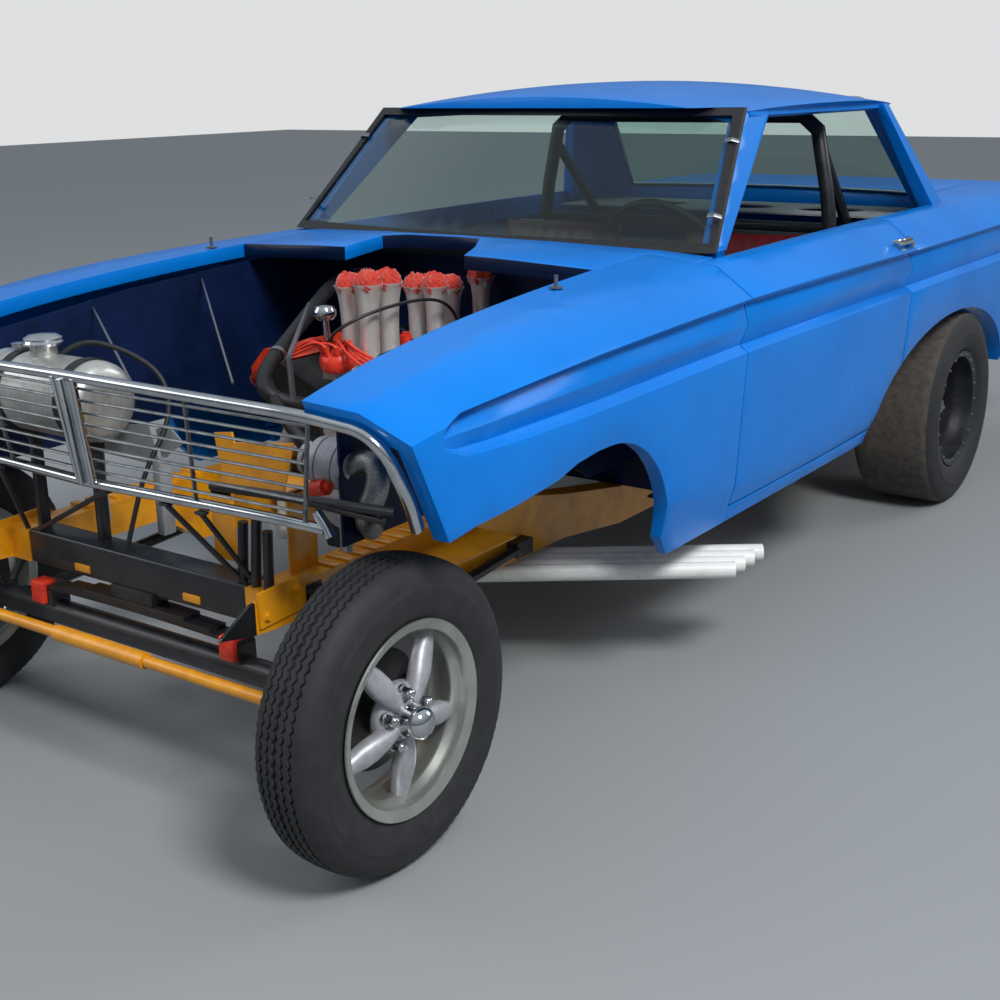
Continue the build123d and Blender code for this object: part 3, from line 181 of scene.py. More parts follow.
def second_colour(material, code, output, axis, edge):
    """Paint another colour where a position in metres, or a face direction, is below an edge on one axis."""
    tree = material.node_tree
    shader = tree.nodes["Principled BSDF"]
    place = node(tree, "ShaderNodeTexCoord")
    parts = node(tree, "ShaderNodeSeparateXYZ", {}, {"Vector": place.outputs[output]})
    step = node(tree, "ShaderNodeMath", {"operation": "LESS_THAN"}, {0: parts.outputs[axis]})
    step.inputs[1].default_value = edge
    mixed = node(tree, "ShaderNodeMix", {"data_type": "RGBA"}, {0: step.outputs["Value"]})
    tree.links.new(shader.inputs["Base Color"].links[0].from_socket, mixed.inputs[6])
    mixed.inputs[7].default_value = linear(code)
    tree.links.new(mixed.outputs[2], shader.inputs["Base Color"])


def make_materials():
    """Every finish of the car, by its plain name."""
    made = {}

    def keep(key, *values, **more):
        made[key] = finish(*values, **more)

    # Two-pack gloss enamel, sprayed: a deep even blue under a clear coat with slight orange peel.
    body = {"coat": 0.1, "grain": 4.0, "depth": 0.012, "tint": "006FC8", "patch": 420.0, "gloss": 0.16}
    keep("blue", "body_enamel", BLUE, 0.3, **body)
    # The same enamel, with painted shade: the faces that look forward into the engine bay take the dark bay colour.
    keep("cowl", "cowl_enamel", BLUE, 0.3, **body)
    second_colour(made["cowl"], BAY_SHADE, "Normal", 1, -0.6)
    # The same blue in the bays, seen in shade and dusty.
    keep("bay", "bay_enamel", BAY_SHADE, 0.5, gloss=0.2, grain=2.0, tint="0B1F48", patch=160.0)
    # Brushed-on gloss enamel over plate steel: warm orange, darker where oil lies.
    chassis = {"coat": 0.3, "grain": 3.0, "depth": 0.03, "tint": "C07A0C", "patch": 90.0, "share": 0.56}
    keep("orange", "chassis_enamel", ORANGE, 0.36, **chassis)
    # The same enamel on the rails, black on the plates ahead of the beam.
    keep("frame", "frame_enamel", ORANGE, 0.36, **chassis)
    second_colour(made["frame"], BLACK, "Object", 1, FRAME_BLACK_Y)
    # Satin chassis black over steel, greyed by dust.
    keep("black", "satin_black_enamel", BLACK, 0.42, coat=0.15, grain=1.5, depth=0.03, tint="24262A", patch=50.0)
    # Tyre rubber: matt near-black, faintly brown with dust.
    keep("tyre", "tyre_rubber", "1B1C1E", 0.72, grain=1.2, depth=0.06, tint="26272A", patch=35.0)
    # Soft slick compound, scuffed grey-brown by the strip.
    keep("slick", "scuffed_slick_rubber", "514B45", 0.9, grain=2.5, depth=0.25, tint="3A3632", patch=24.0)
    # Extruded seal and hose rubber.
    keep("rubber", "seal_rubber", "121315", 0.55, grain=0.8, depth=0.03, tint="1B1C1E", patch=30.0)
    # Sand-cast aluminium, left as cast: soft grey with a fine sandy skin.
    keep("cast", "sand_cast_aluminium", "B4B4BA", 0.5, metal=0.55, grain=1.6, depth=0.07, tint="9C9CA2", patch=22.0)
    # Turned rim lip: aluminium with fine lathe marks.
    keep("lip", "turned_aluminium", "BDBFB8", 0.32, metal=0.85, grain=0.8, tint="A6A89F", patch=60.0)
    # Spun and hand-polished aluminium.
    keep("spun", "spun_aluminium", "D0D0CC", 0.38, metal=0.8, grain=1.2, depth=0.015, tint="B4B4AE", patch=26.0,
         stretch=(8, 1, 1))
    # Drawn aluminium tube, polished; its colour is kept lighter than the spun aluminium as painted sunlight.
    keep("trumpet", "polished_aluminium", "ECECE8", 0.36, metal=0.6, grain=1.2, depth=0.015, tint="E2E2DC",
         patch=30.0)
    # Thin stamped grille bars, dulled by weather.
    keep("bar", "stamped_aluminium", "8B8F90", 0.38, metal=0.9, grain=1.5, tint="6A6E70", patch=30.0)
    # Decorative chromium plate on steel.
    keep("chrome", "chromium_plate", "C9CCCF", 0.1, metal=1.0, grain=6.0, depth=0.008, tint="AEB2B6", patch=60.0,
         rough_spread=0.04)
    # Zinc-plated fasteners: dull bluish silver.
    keep("zinc", "zinc_plated_steel", "8E9296", 0.4, metal=0.9, grain=0.8, tint="73777A", patch=8.0)
    # Grey iron, painted black and oily.
    keep("iron", "painted_cast_iron", "1D1E20", 0.5, grain=1.8, depth=0.12, tint="2B2A28", patch=30.0)
    # Hot orange-red engine enamel on pressed steel.
    keep("engine", "engine_enamel", "D8401C", 0.3, coat=0.5, grain=2.5, tint="B83214", patch=60.0)
    # Thermal coating on the exhaust tubes: chalky white.
    keep("white", "exhaust_coating", "E4E4E0", 0.5, coat=0.1, grain=1.2, depth=0.03, tint="CDCDC8", patch=70.0,
         share=0.6)
    # Embossed upholstery vinyl.
    keep("vinyl", "embossed_vinyl", "141518", 0.5, grain=1.6, depth=0.12, tint="1C1D20", patch=40.0, kind="cells")
    # Dark red embossed vinyl of the seats.
    keep("red_vinyl", "red_seat_vinyl", "5A1014", 0.46, grain=1.6, depth=0.12, tint="48090D", patch=40.0,
         kind="cells")
    # Painted fibreboard: flat mid grey.
    keep("board", "painted_fibreboard", "8D9092", 0.85, grain=1.5, depth=0.08, tint="7B7E80", patch=50.0)
    # Cotton workshop cloth, red, pushed into the trumpet mouths.
    keep("cloth", "cotton_cloth", "B3271C", 0.9, grain=1.4, depth=0.25, tint="D2442E", patch=9.0, sheen=0.4)
    # Moulded signal-red plastic.
    keep("red", "moulded_red_polyurethane", "F0402A", 0.42, grain=1.0, tint="C22C18", patch=20.0)
    # Transparent red lamp plastic over a reflector.
    keep("lens", "red_lamp_plastic", "9E0E10", 0.12, coat=0.6, grain=5.0, depth=0.15, tint="7E080A", patch=12.0,
         kind="cells")
    # Silicone-insulated ignition lead.
    keep("lead", "ignition_lead_silicone", "1A1B1D", 0.45, grain=1.0, tint="2A2B2E", patch=15.0)
    # Braided stainless hose: fine bright weave drawn 1.5 mm coarse so that it shows.
    keep("braid", "braided_stainless", "9A9D9F", 0.35, metal=0.9, grain=1.5, depth=0.3, tint="6E7072", patch=4.0,
         kind="cells")
    made["glass"] = window_glass("laminated_glass", "DDE9E6")
    return made


# Shapes

def block(bm, low, high, bevel=0.0, segments=2):
    """A box between two corners in drawing millimetres, with rounded edges."""
    a, b = at(*low), at(*high)
    size = Vector([abs(q - p) for p, q in zip(a, b)])
    verts = bmesh.ops.create_cube(bm, size=1.0, matrix=Matrix.LocRotScale((a + b) / 2, None, size))["verts"]
    if bevel:
        edges = list({e for v in verts for e in v.link_edges})
        bmesh.ops.bevel(bm, geom=edges, offset=bevel * MM, offset_type="OFFSET", segments=segments, profile=0.5,
                        affect="EDGES", clamp_overlap=True, material=-1)
    return verts


def rod(bm, start, end, radius, far=None, sides=20):
    """A round bar or cone between two places in drawing millimetres."""
    a, b = at(*start), at(*end)
    turn = (b - a).to_track_quat("Z", "Y").to_matrix().to_4x4()
    far = radius if far is None else far
    made = bmesh.ops.create_cone(bm, cap_ends=True, cap_tris=False, segments=sides, radius1=radius * MM,
                                 radius2=far * MM, depth=(b - a).length,
                                 matrix=Matrix.Translation((a + b) / 2) @ turn)
    return made["verts"]


def turned(bm, profile, centre, axis=(1, 0, 0), steps=48):
    """A (radius, along) profile in millimetres spun about an axis through a place; open where it starts on it."""
    axis = Vector(axis).normalized()
    side = axis.orthogonal().normalized()
    origin = at(*centre)
    verts = [bm.verts.new(origin + side * (r * MM) + axis * (h * MM)) for r, h in profile]
    run = verts + verts[:1] if profile[0][0] else verts
    edges = [bm.edges.new(pair) for pair in zip(run, run[1:])]
    bmesh.ops.spin(bm, geom=verts + edges, cent=origin, axis=axis, dvec=(0, 0, 0), angle=math.tau, steps=steps,
                   use_merge=True, use_duplicate=False)


def both_ways(profile):
    """A profile led on by its mirror image across its middle."""
    return profile + [(r, -h) for r, h in reversed(profile)]


def bolt(bm, centre, axis, radius, height):
    """A hexagon bolt head on its washer."""
    axis = Vector(axis).normalized()
    start = Vector(centre)
    rod(bm, start, start + axis * (height * 0.25), radius * 1.45, sides=20)
    rod(bm, start + axis * (height * 0.25), start + axis * height, radius, radius * 0.94, sides=6)


def placed(name, data):
    """A new object in the scene."""
    made = bpy.data.objects.new(name, data)
    bpy.context.scene.collection.objects.link(made)
    return made


def piece(name, bm, key, body="car", angle=38.0, side=1):
    """Close a mesh, give its edges, finish, body and slot. Side -1 gives the mirror image."""
    if side < 0:
        bmesh.ops.scale(bm, vec=(-1, 1, 1), verts=bm.verts)
    bmesh.ops.remove_doubles(bm, verts=bm.verts, dist=NEAR)
    bmesh.ops.recalc_face_normals(bm, faces=bm.faces)
    limit = math.radians(angle)
    for face in bm.faces:
        face.smooth = True
    for edge in bm.edges:
        edge.smooth = len(edge.link_faces) == 2 and edge.calc_face_angle(0.0) < limit
    mesh = bpy.data.meshes.new(name)
    bm.to_mesh(mesh)
    bm.free()
    made = placed(name, mesh)
    mesh.materials.append(MATERIALS[key])
    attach(made, body)
    return made


def modify(made, kind, **settings):
    """Add a modifier with its settings."""
    added = made.modifiers.new(kind.lower(), kind)
    for key, value in settings.items():
        setattr(added, key, value)


def line(name, points, radius, key):
    """A hose, lead or bent rod along a smooth line through places in drawing millimetres."""
    curve = bpy.data.curves.new(name + "_line", "CURVE")
    curve.dimensions = "3D"
    curve.bevel_depth = radius * MM
    curve.bevel_resolution = 3
    curve.use_fill_caps = True
    curve.resolution_u = 8
    spline = curve.splines.new("NURBS")
    spline.points.add(len(points) - 1)
    for point, place in zip(spline.points, points):
        point.co = (*at(*place), 1.0)
    spline.order_u = 3
    spline.use_endpoint_u = True
    holder = placed(name + "_line", curve)
    bpy.context.view_layer.update()
    mesh = bpy.data.meshes.new_from_object(holder.evaluated_get(bpy.context.evaluated_depsgraph_get()))
    bpy.data.objects.remove(holder)
    bpy.data.curves.remove(curve)
    bm = bmesh.new()
    bm.from_mesh(mesh)
    bpy.data.meshes.remove(mesh)
    return piece(name, bm, key, angle=60)


def rounded(points, cut, steps=6):
    """The same run of places with its corners turned into short curves."""
    points = [Vector(point) for point in points]
    run = [points[0]]
    for before, corner, after in zip(points, points[1:], points[2:]):
        reach = min(cut, (corner - before).length * 0.48, (after - corner).length * 0.48)
        start = corner + (before - corner).normalized() * reach
        end = corner + (after - corner).normalized() * reach
        for step in range(steps + 1):
            share = step / steps
            run.append(start.lerp(corner, share).lerp(corner.lerp(end, share), share))
    return run + [points[-1]]


def squared(angle, power):
    """A place on a circle that is drawn out towards a square by a power below one."""
    return tuple(math.copysign(abs(part) ** power, part) for part in (math.cos(angle), math.sin(angle)))


def around(count, radius, first=0):
    """Places evenly spaced on a circle, from a first angle in degrees."""
    turns = [math.radians(first) + index / count * math.tau for index in range(count)]
    return [(math.cos(turn) * radius, math.sin(turn) * radius) for turn in turns]


def loop(bm, verts):
    """The edges that close a ring of vertices."""
    return [bm.edges.new((verts[i], verts[(i + 1) % len(verts)])) for i in range(len(verts))]


def skinned(bm, rings):
    """A closed skin over rings of places."""
    rings = [[bm.verts.new(place) for place in ring] for ring in rings]
    loops = [loop(bm, ring) for ring in rings]
    for first, second in zip(loops, loops[1:]):
        bmesh.ops.bridge_loops(bm, edges=first + second)
    for ring in (rings[0], rings[-1]):
        bm.faces.new(ring)


def moulding(bm, path, depth, height, front=(0, -1, 0), sides=14, power=0.7):
    """A rounded bar carried along places; depth lies along the front direction."""
    places = [at(*place) for place in path]
    section = [squared(side / sides * math.tau, power) for side in range(sides)]
    rings = []
    for index, place in enumerate(places):
        ahead = (places[min(index + 1, len(places) - 1)] - places[max(index - 1, 0)]).normalized()
        out = Vector(front)
        out = (out - ahead * out.dot(ahead)).normalized()
        rise = ahead.cross(out)
        rings.append([place + out * (u * depth / 2 * MM) + rise * (v * height / 2 * MM) for u, v in section])
    skinned(bm, rings)


def mirrored(points):
    """A run of places from the middle outwards, led in by its mirror image."""
    return [(-x, y, z) for x, y, z in reversed(points[1:])] + list(points)


def thicken(bm, faces, depth):
    """Give faces a thickness along y."""
    made = bmesh.ops.extrude_face_region(bm, geom=list(faces))
    verts = [v for v in made["geom"] if isinstance(v, bmesh.types.BMVert)]
    bmesh.ops.translate(bm, vec=(0, depth * MM, 0), verts=verts)


def plate(bm, corners, depth):
    """A flat plate between corners, thickened backwards along y."""
    thicken(bm, [bm.faces.new([bm.verts.new(at(*corner)) for corner in corners])], depth)


def pad(name, centre, half, turn):
    """A stuffed pad: crowned, pulled in between its corners, with sewn channels on its face."""
    bm = bmesh.new()
    bmesh.ops.create_cube(bm, size=2.0)
    bmesh.ops.subdivide_edges(bm, edges=bm.edges, cuts=31, use_grid_fill=True)
    for vert in bm.verts:
        a, b, c = vert.co
        swell = max((1 - abs(a) ** 5) * (1 - abs(b) ** 5), 0.0) ** 0.5
        height = c * (0.42 + 0.58 * swell)
        if c > 0:
            for place in CHANNELS:
                height -= CHANNEL_DEPTH * math.exp(-((a - place) / CHANNEL_WIDTH) ** 2) * swell
        vert.co = Vector((a * (1 - 0.05 * (1 - b * b)) * half[0], b * (1 - 0.04 * (1 - a * a)) * half[1],
                          height * half[2])) * MM
    bmesh.ops.transform(bm, matrix=Matrix.Translation(at(*centre)) @ Matrix.Rotation(math.radians(turn), 4, "X"),
                        verts=bm.verts)
    made = piece(name, bm, "red_vinyl", angle=70)


# Sizes and colours that a user may change

class DRAGCAR_PG_sizes(bpy.types.PropertyGroup):
    """Small sizes of the dressed pieces"""
    groove: bpy.props.FloatProperty(name="Tread groove depth", description="Depth of the front tread grooves",
                                    default=0.006, min=0.001, max=0.009, unit="LENGTH")
    zigzag: bpy.props.FloatProperty(name="Groove zigzag", description="Sideways swing of the tread grooves",
                                    default=0.003, min=0.0, max=0.005, unit="LENGTH")
    edge: bpy.props.FloatProperty(name="Panel edge", description="Rounding of the panel edges",
                                  default=0.002, min=0.0, max=0.004, unit="LENGTH")
    lead: bpy.props.FloatProperty(name="Ignition lead", description="Radius of an ignition lead",
                                  default=0.004, min=0.003, max=0.006, unit="LENGTH")
    floor: bpy.props.FloatProperty(name="Floor size", description="Side of the plain floor",
                                   default=60.0, min=10.0, max=200.0, unit="LENGTH")


class DRAGCAR_PG_colours(bpy.types.PropertyGroup):
    """Colours of the stage"""
    floor: bpy.props.FloatVectorProperty(name="Floor", description="Colour of the floor", subtype="COLOR",
                                         size=4, default=linear("8E9192"), min=0.0, max=1.0)
    world: bpy.props.FloatVectorProperty(name="Backdrop", description="Colour behind the car", subtype="COLOR",
                                         size=4, default=linear("E4E5E6"), min=0.0, max=1.0)


class DRAGCAR_OT_finishes(bpy.types.Operator):
    """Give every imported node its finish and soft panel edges"""
    bl_idname = "dragcar.finishes"
    bl_label = "Finishes"

    NODES = {
        "blue": ["fender_left", "fender_right", "door_left", "door_right", "quarter_left", "quarter_right",
                 "sill_left", "sill_right", "trunk_lid", "tail_panel", "roof_panel"],
        "bay": ["firewall", "floor_pan"],
        "chrome": ["door_handle_left", "door_handle_right", "grille", "rear_bumper"],
        "rubber": ["windshield_trim"],
        "cowl": ["cowl_panel"],
        "frame": ["chassis_frame"],
        "glass": ["windshield", "rear_glass"],
        "board": ["rear_shelf"],
        "orange": ["tie_rod"],
        "black": ["front_crossmember", "front_axle", "front_spring", "front_shocks", "radius_rods", "roll_cage",
                  "rear_axle", "rear_springs", "rear_wheel_left", "rear_wheel_right"],
        "iron": ["knuckle_left", "knuckle_right", "engine_block", "driveline"],
        "cast": ["engine_front", "front_wheel_left", "front_wheel_right"],
        "spun": ["injection_stacks", "fuel_tank"],
        "engine": ["engine_covers"],
        "white": ["headers_left", "headers_right"],
        "tyre": ["front_tyre_left", "front_tyre_right", "rear_tyre_left", "rear_tyre_right"],
        "vinyl": ["dash_panel", "steering_wheel"],
        "red_vinyl": ["seats"],
        "lens": ["tail_lamps"],
    }

    def execute(self, context):
        MATERIALS.update(make_materials())
        edge = context.scene.dragcar_sizes.edge
        for key, names in self.NODES.items():
            for name in names:
                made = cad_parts[name]
                made.data.materials.clear()
                made.data.materials.append(MATERIALS[key])
                for polygon in made.data.polygons:
                    polygon.use_smooth = True
                modify(made, "WELD", merge_threshold=2 * NEAR)
                enamel = key in ("blue", "cowl")
                if enamel and edge > 0:
                    modify(made, "BEVEL", width=edge, segments=2, limit_method="ANGLE", angle_limit=math.radians(40))
                modify(made, "EDGE_SPLIT", split_angle=math.radians(38 if enamel else 48))
        return {"FINISHED"}


class DRAGCAR_OT_front_tyres(bpy.types.Operator):
    """Build the ribbed front tyres"""
    bl_idname = "dragcar.front_tyres"
    bl_label = "Front tyres"

    def execute(self, context):
        sizes = context.scene.dragcar_sizes
        centre = at(*FRONT_WHEEL)
        groove = sizes.groove / MM
        for side, sign in SIDES:
            bm = bmesh.new()
            half = [(190, 50), (192, 56), (206, 61), (217, 66), (228, 70), (246, 73.5), (262, 75.2), (272, 75),
                    (274, 74), (286, 73), (298, 70), (309, 64), (316, 58), (320, 53), (321.5, 50)]
            tread = [(322.5, 46), (323.6, 39), (323.8 - groove, 38), (324 - groove, 34), (325, 33), (326, 21),
                     (326 - groove, 20), (326.2 - groove, 16), (326.6, 15), (326.9, 5), (326.9 - groove, 4)]
            profile = both_ways(half + tread)
            turned(bm, profile, FRONT_WHEEL, steps=TREAD_STEPS)
            for vert in bm.verts:
                out = Vector((0, vert.co.y - centre.y, vert.co.z - centre.z))
                odd = round(math.atan2(out.z, out.y) / math.tau * TREAD_STEPS) % 2
                if out.length > BAND_R and abs(vert.co.x - centre.x) < BAND_HALF:
                    vert.co.x += sizes.zigzag * (1 if odd else -1)
                elif SHOULDER_R[0] < out.length < SHOULDER_R[1] and odd:
                    vert.co -= out.normalized() * BLOCK_CUT
            made = piece(f"front_tyre_tread_{side}", bm, "tyre", f"front_wheel_{side}", angle=25, side=sign)
            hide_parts(f"front_tyre_{side}")
        return {"FINISHED"}


class DRAGCAR_OT_rear_tyres(bpy.types.Operator):
    """Build the wide slicks with scuffed treads"""
    bl_idname = "dragcar.rear_tyres"
    bl_label = "Rear tyres"

    def execute(self, context):
        for side, sign in SIDES:
            wall = bmesh.new()
            half = [(195, 101), (197, 117), (210, 121), (221, 134), (236, 141), (258, 146.5), (279, 149),
                    (281, 148), (296, 147.5), (316, 143), (330, 137), (341, 130), (347, 120)]
            turned(wall, both_ways(half), REAR_WHEEL, steps=120)
            made = piece(f"slick_wall_{side}", wall, "tyre", f"rear_wheel_{side}", angle=30, side=sign)
            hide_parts(f"rear_tyre_{side}")
            band = bmesh.new()
            arc = [(341.2, 130.2), (347.2, 120.4), (350.4, 108), (351.6, 80), (351.9, 40)]
            turned(band, both_ways(arc) + [(344, -110), (344, 110)], REAR_WHEEL, steps=120)
            piece(f"slick_tread_{side}", band, "slick", f"rear_wheel_{side}", side=sign)
        return {"FINISHED"}


def barrel(bm, centre, rim_r, half):
    """A rolled wheel rim with its drop centre and both lips."""
    seat, edge = half * 0.72, half * 0.86
    outer = [(rim_r + 15, edge + 1), (rim_r + 17.5, edge + 5), (rim_r + 16, edge + 8.5), (rim_r + 9, edge + 5),
             (rim_r + 1, edge + 3), (rim_r - 5, edge), (rim_r - 7.5, seat), (rim_r - 9, seat * 0.8),
             (rim_r - 18, seat * 0.6), (rim_r - 19.2, seat * 0.45)]
    inner = [(rim_r - 12, seat * 0.45), (rim_r - 11, seat * 0.6), (rim_r - 2, seat * 0.8), (rim_r, seat),
             (rim_r + 1, edge - 4), (rim_r + 13, edge)]
    turned(bm, both_ways(outer) + [(r, -h) for r, h in reversed(inner)] + inner, centre, steps=72)


def spoke(bm, centre, angle, stations, sides=14):
    """One spoke: oval sections along a radius. Stations give reach, half width, back and front."""
    origin = at(*centre)
    turn = Matrix.Rotation(math.radians(angle), 4, "X")
    section = [squared(index / sides * math.tau, 0.86) for index in range(sides)]
    skinned(bm, [[origin + turn @ Vector(((back + front) / 2 + u * (front - back) / 2, reach, v * half)) * MM
                  for u, v in section] for reach, half, back, front in stations])


class DRAGCAR_OT_front_wheels(bpy.types.Operator):
    """Build the five-spoke cast front wheels with polished lips, nuts and domed caps"""
    bl_idname = "dragcar.front_wheels"
    bl_label = "Front wheels"

    def execute(self, context):
        centre = FRONT_WHEEL
        for side, sign in SIDES:
            body = f"front_wheel_{side}"
            rim = bmesh.new()
            barrel(rim, centre, 190, 72.5)
            piece(f"front_rim_{side}", rim, "lip", body, side=sign)
            cast = bmesh.new()
            for index in range(5):
                spoke(cast, centre, -90 + index * 72,
                      [(26, 14, 20, 58), (48, 16, 20, 62), (76, 22, 18, 62), (104, 26, 14, 58), (132, 25, 11, 50),
                       (160, 20, 7, 42), (184, 13, 3, 34)], sides=20)
            turned(cast, [(20, 12), (70, 12), (73, 18), (70, 34), (56, 44), (40, 48), (20, 48)], centre, steps=60)
            made = piece(f"front_spokes_{side}", cast, "cast", body, side=sign, angle=50)
            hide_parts(f"front_wheel_{side}")
            cap = bmesh.new()
            turned(cap, [(0, 46), (36, 46), (41, 50), (41, 56), (36, 59), (36, 68), (35, 82), (31, 94), (23, 103),
                         (12, 108), (0, 109)], centre, steps=56)
            for v, w in around(5, 57, -54):
                place = Vector(centre) + Vector((36, v, w))
                rod(cap, place, place + Vector((6, 0, 0)), 14, sides=24)
                rod(cap, place + Vector((6, 0, 0)), place + Vector((24, 0, 0)), 11.5, 11, sides=6)
                turned(cap, [(0, 22), (11, 22), (11, 26), (9, 31), (5, 34), (0, 35)], place, steps=20)
            piece(f"front_cap_and_nuts_{side}", cap, "chrome", body, side=sign, angle=45)
            disc = bmesh.new()
            turned(disc, [(23, -66), (48, -66), (50, -38), (126, -38), (128, -36), (128, -26), (126, -24), (48, -24),
                          (46, 14), (23, 14)], centre, steps=60)
            piece(f"front_hub_and_disc_{side}", disc, "iron", body, side=sign)
        return {"FINISHED"}


class DRAGCAR_OT_rear_wheels(bpy.types.Operator):
    """Build the deep black rear wheels with a ring of bright bolts"""
    bl_idname = "dragcar.rear_wheels"
    bl_label = "Rear wheels"

    def execute(self, context):
        centre = REAR_WHEEL
        for side, sign in SIDES:
            body = f"rear_wheel_{side}"
            rim = bmesh.new()
            barrel(rim, centre, 195, 143)
            piece(f"rear_rim_{side}", rim, "black", body, side=sign)
            cast = bmesh.new()
            for index in range(5):
                spoke(cast, centre, 90 + index * 72,
                      [(30, 38, 14, 44), (70, 36, 12, 46), (120, 34, 8, 42), (160, 36, 4, 36), (188, 44, 0, 30)])
            turned(cast, [(26, 4), (84, 4), (88, 12), (84, 34), (66, 42), (26, 46)], centre, steps=60)
            made = piece(f"rear_spokes_{side}", cast, "black", body, side=sign, angle=50)
            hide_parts(f"rear_wheel_{side}")
            bright = bmesh.new()
            for v, w in around(5, 58, 54):
                place = Vector(centre) + Vector((34, v, w))
                rod(bright, place, place + Vector((24, 0, 0)), 11, 10, sides=6)
                rod(bright, place + Vector((24, 0, 0)), place + Vector((30, 0, 0)), 10, 5, sides=20)
            for v, w in around(20, 197):
                place = Vector(centre) + Vector((121, v, w))
                rod(bright, place, place + Vector((9, 0, 0)), 5.5, 4.5, sides=12)
            turned(bright, [(0, 40), (30, 40), (30, 62), (24, 70), (0, 72)], centre, steps=36)
            piece(f"rear_nuts_{side}", bright, "zinc", body, side=sign)
            drum = bmesh.new()
            turned(drum, [(27, -58), (140, -58), (141, -50), (141, 4), (134, 8), (27, 8)], centre, steps=60)
            piece(f"rear_drum_{side}", drum, "iron", body, side=sign)
        return {"FINISHED"}


class DRAGCAR_OT_trumpets(bpy.types.Operator):
    """Build the intake trumpets, their cloth plugs and the injection plumbing"""
    bl_idname = "dragcar.trumpets"
    bl_label = "Intake trumpets"

    def execute(self, context):
        bright = bmesh.new()
        cloth = bmesh.new()
        for number, (x, y, top, foot) in enumerate(TRUMPETS):
            h = top - foot
            turned(bright, [(24.5, 0), (24.5, h * 0.45), (25.5, h * 0.62), (28, h * 0.78), (32, h * 0.9),
                            (37, h * 0.97), (40, h - 1), (40, h + 0.5), (38, h), (33, h * 0.955), (29, h * 0.88),
                            (24.5, h * 0.76), (22, h * 0.6), (21.5, 0)], (x, y, foot), axis=UP, steps=40)
            rod(bright, (x, y, foot - 16), (x, y, foot + 12), 30, 26, sides=32)
            middle = at(x, y, top - 2)
            made = bmesh.ops.create_icosphere(cloth, subdivisions=4, radius=CLOTH_R,
                                              matrix=Matrix.Translation(middle))
            # Five and eleven folds round the mouth, and smaller ones across it
            for vert in made["verts"]:
                d = vert.co - middle
                a = math.atan2(d.y, d.x)
                fold = (math.sin(a * 5 + number) + 0.6 * math.sin(a * 11 + d.z * 400 + number * 2)
                        + 0.5 * math.sin(d.x * 330 + number) * math.cos(d.y * 300))
                grow = 1 + CLOTH_FOLD * fold
                lift = (1.0 if d.z > 0 else 0.7) * (1 + CLOTH_LIFT * fold)
                vert.co = middle + Vector((d.x * grow, d.y * grow, d.z * lift))
        made = piece("intake_trumpets", bright, "trumpet")
        plugs = piece("trumpet_cloth_plugs", cloth, "cloth", angle=80)
        tray = bmesh.new()
        block(tray, (-104, 116, 781), (104, 562, 802), 5)
        block(tray, (-78, 118, 800), (78, 558, 812), 3)
        for x, y, *_ in TRUMPETS[:-1]:
            rod(tray, (x * 1.02, y, 796), (x, y, 806), 30, 28, sides=32)
        block(tray, (15, 552, 788), (75, 664, 848), 6)
        for x, y in [(s * 92, y) for s in (-1, 1) for y in (150, 215, 290, 400, 475, 545)]:
            bolt(tray, (x, y, 801), UP, 6, 6)
        piece("intake_manifold", tray, "cast")
        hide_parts("injection_stacks")
        shafts = bmesh.new()
        for s in (-1, 1):
            rod(shafts, (s * 40, 122, 826), (s * 40, 548, 826), 4.5, sides=12)
        for x, y, *_ in TRUMPETS[:-1]:
            s = math.copysign(1, x)
            block(shafts, (x - 30, y - 5, 820), (x + 30, y + 5, 832), 2)
            rod(shafts, (s * 61, y, 850), (s * 75, y, 858), 5, sides=6)
        rod(shafts, (-45, 346, 832), (45, 346, 832), 4, sides=12)
        piece("throttle_shafts", shafts, "zinc")
        for side, s in SIDES:
            for number, (_, y, *_) in enumerate(TRUMPETS[:4] if s > 0 else TRUMPETS[4:8]):
                line(f"fuel_line_{side}_{number}", [(s * 74, y, 857), (s * 96, y, 868), (s * 100, (y + 346) / 2, 872),
                                                    (s * 60, 346, 866), (s * 12, 346, 860)], 3.2, "rubber")
        hub = bmesh.new()
        rod(hub, (0, 346, 812), (0, 346, 874), 17, sides=24)
        rod(hub, (0, 346, 874), (0, 346, 882), 12, sides=6)
        piece("fuel_distribution_block", hub, "red")
        return {"FINISHED"}


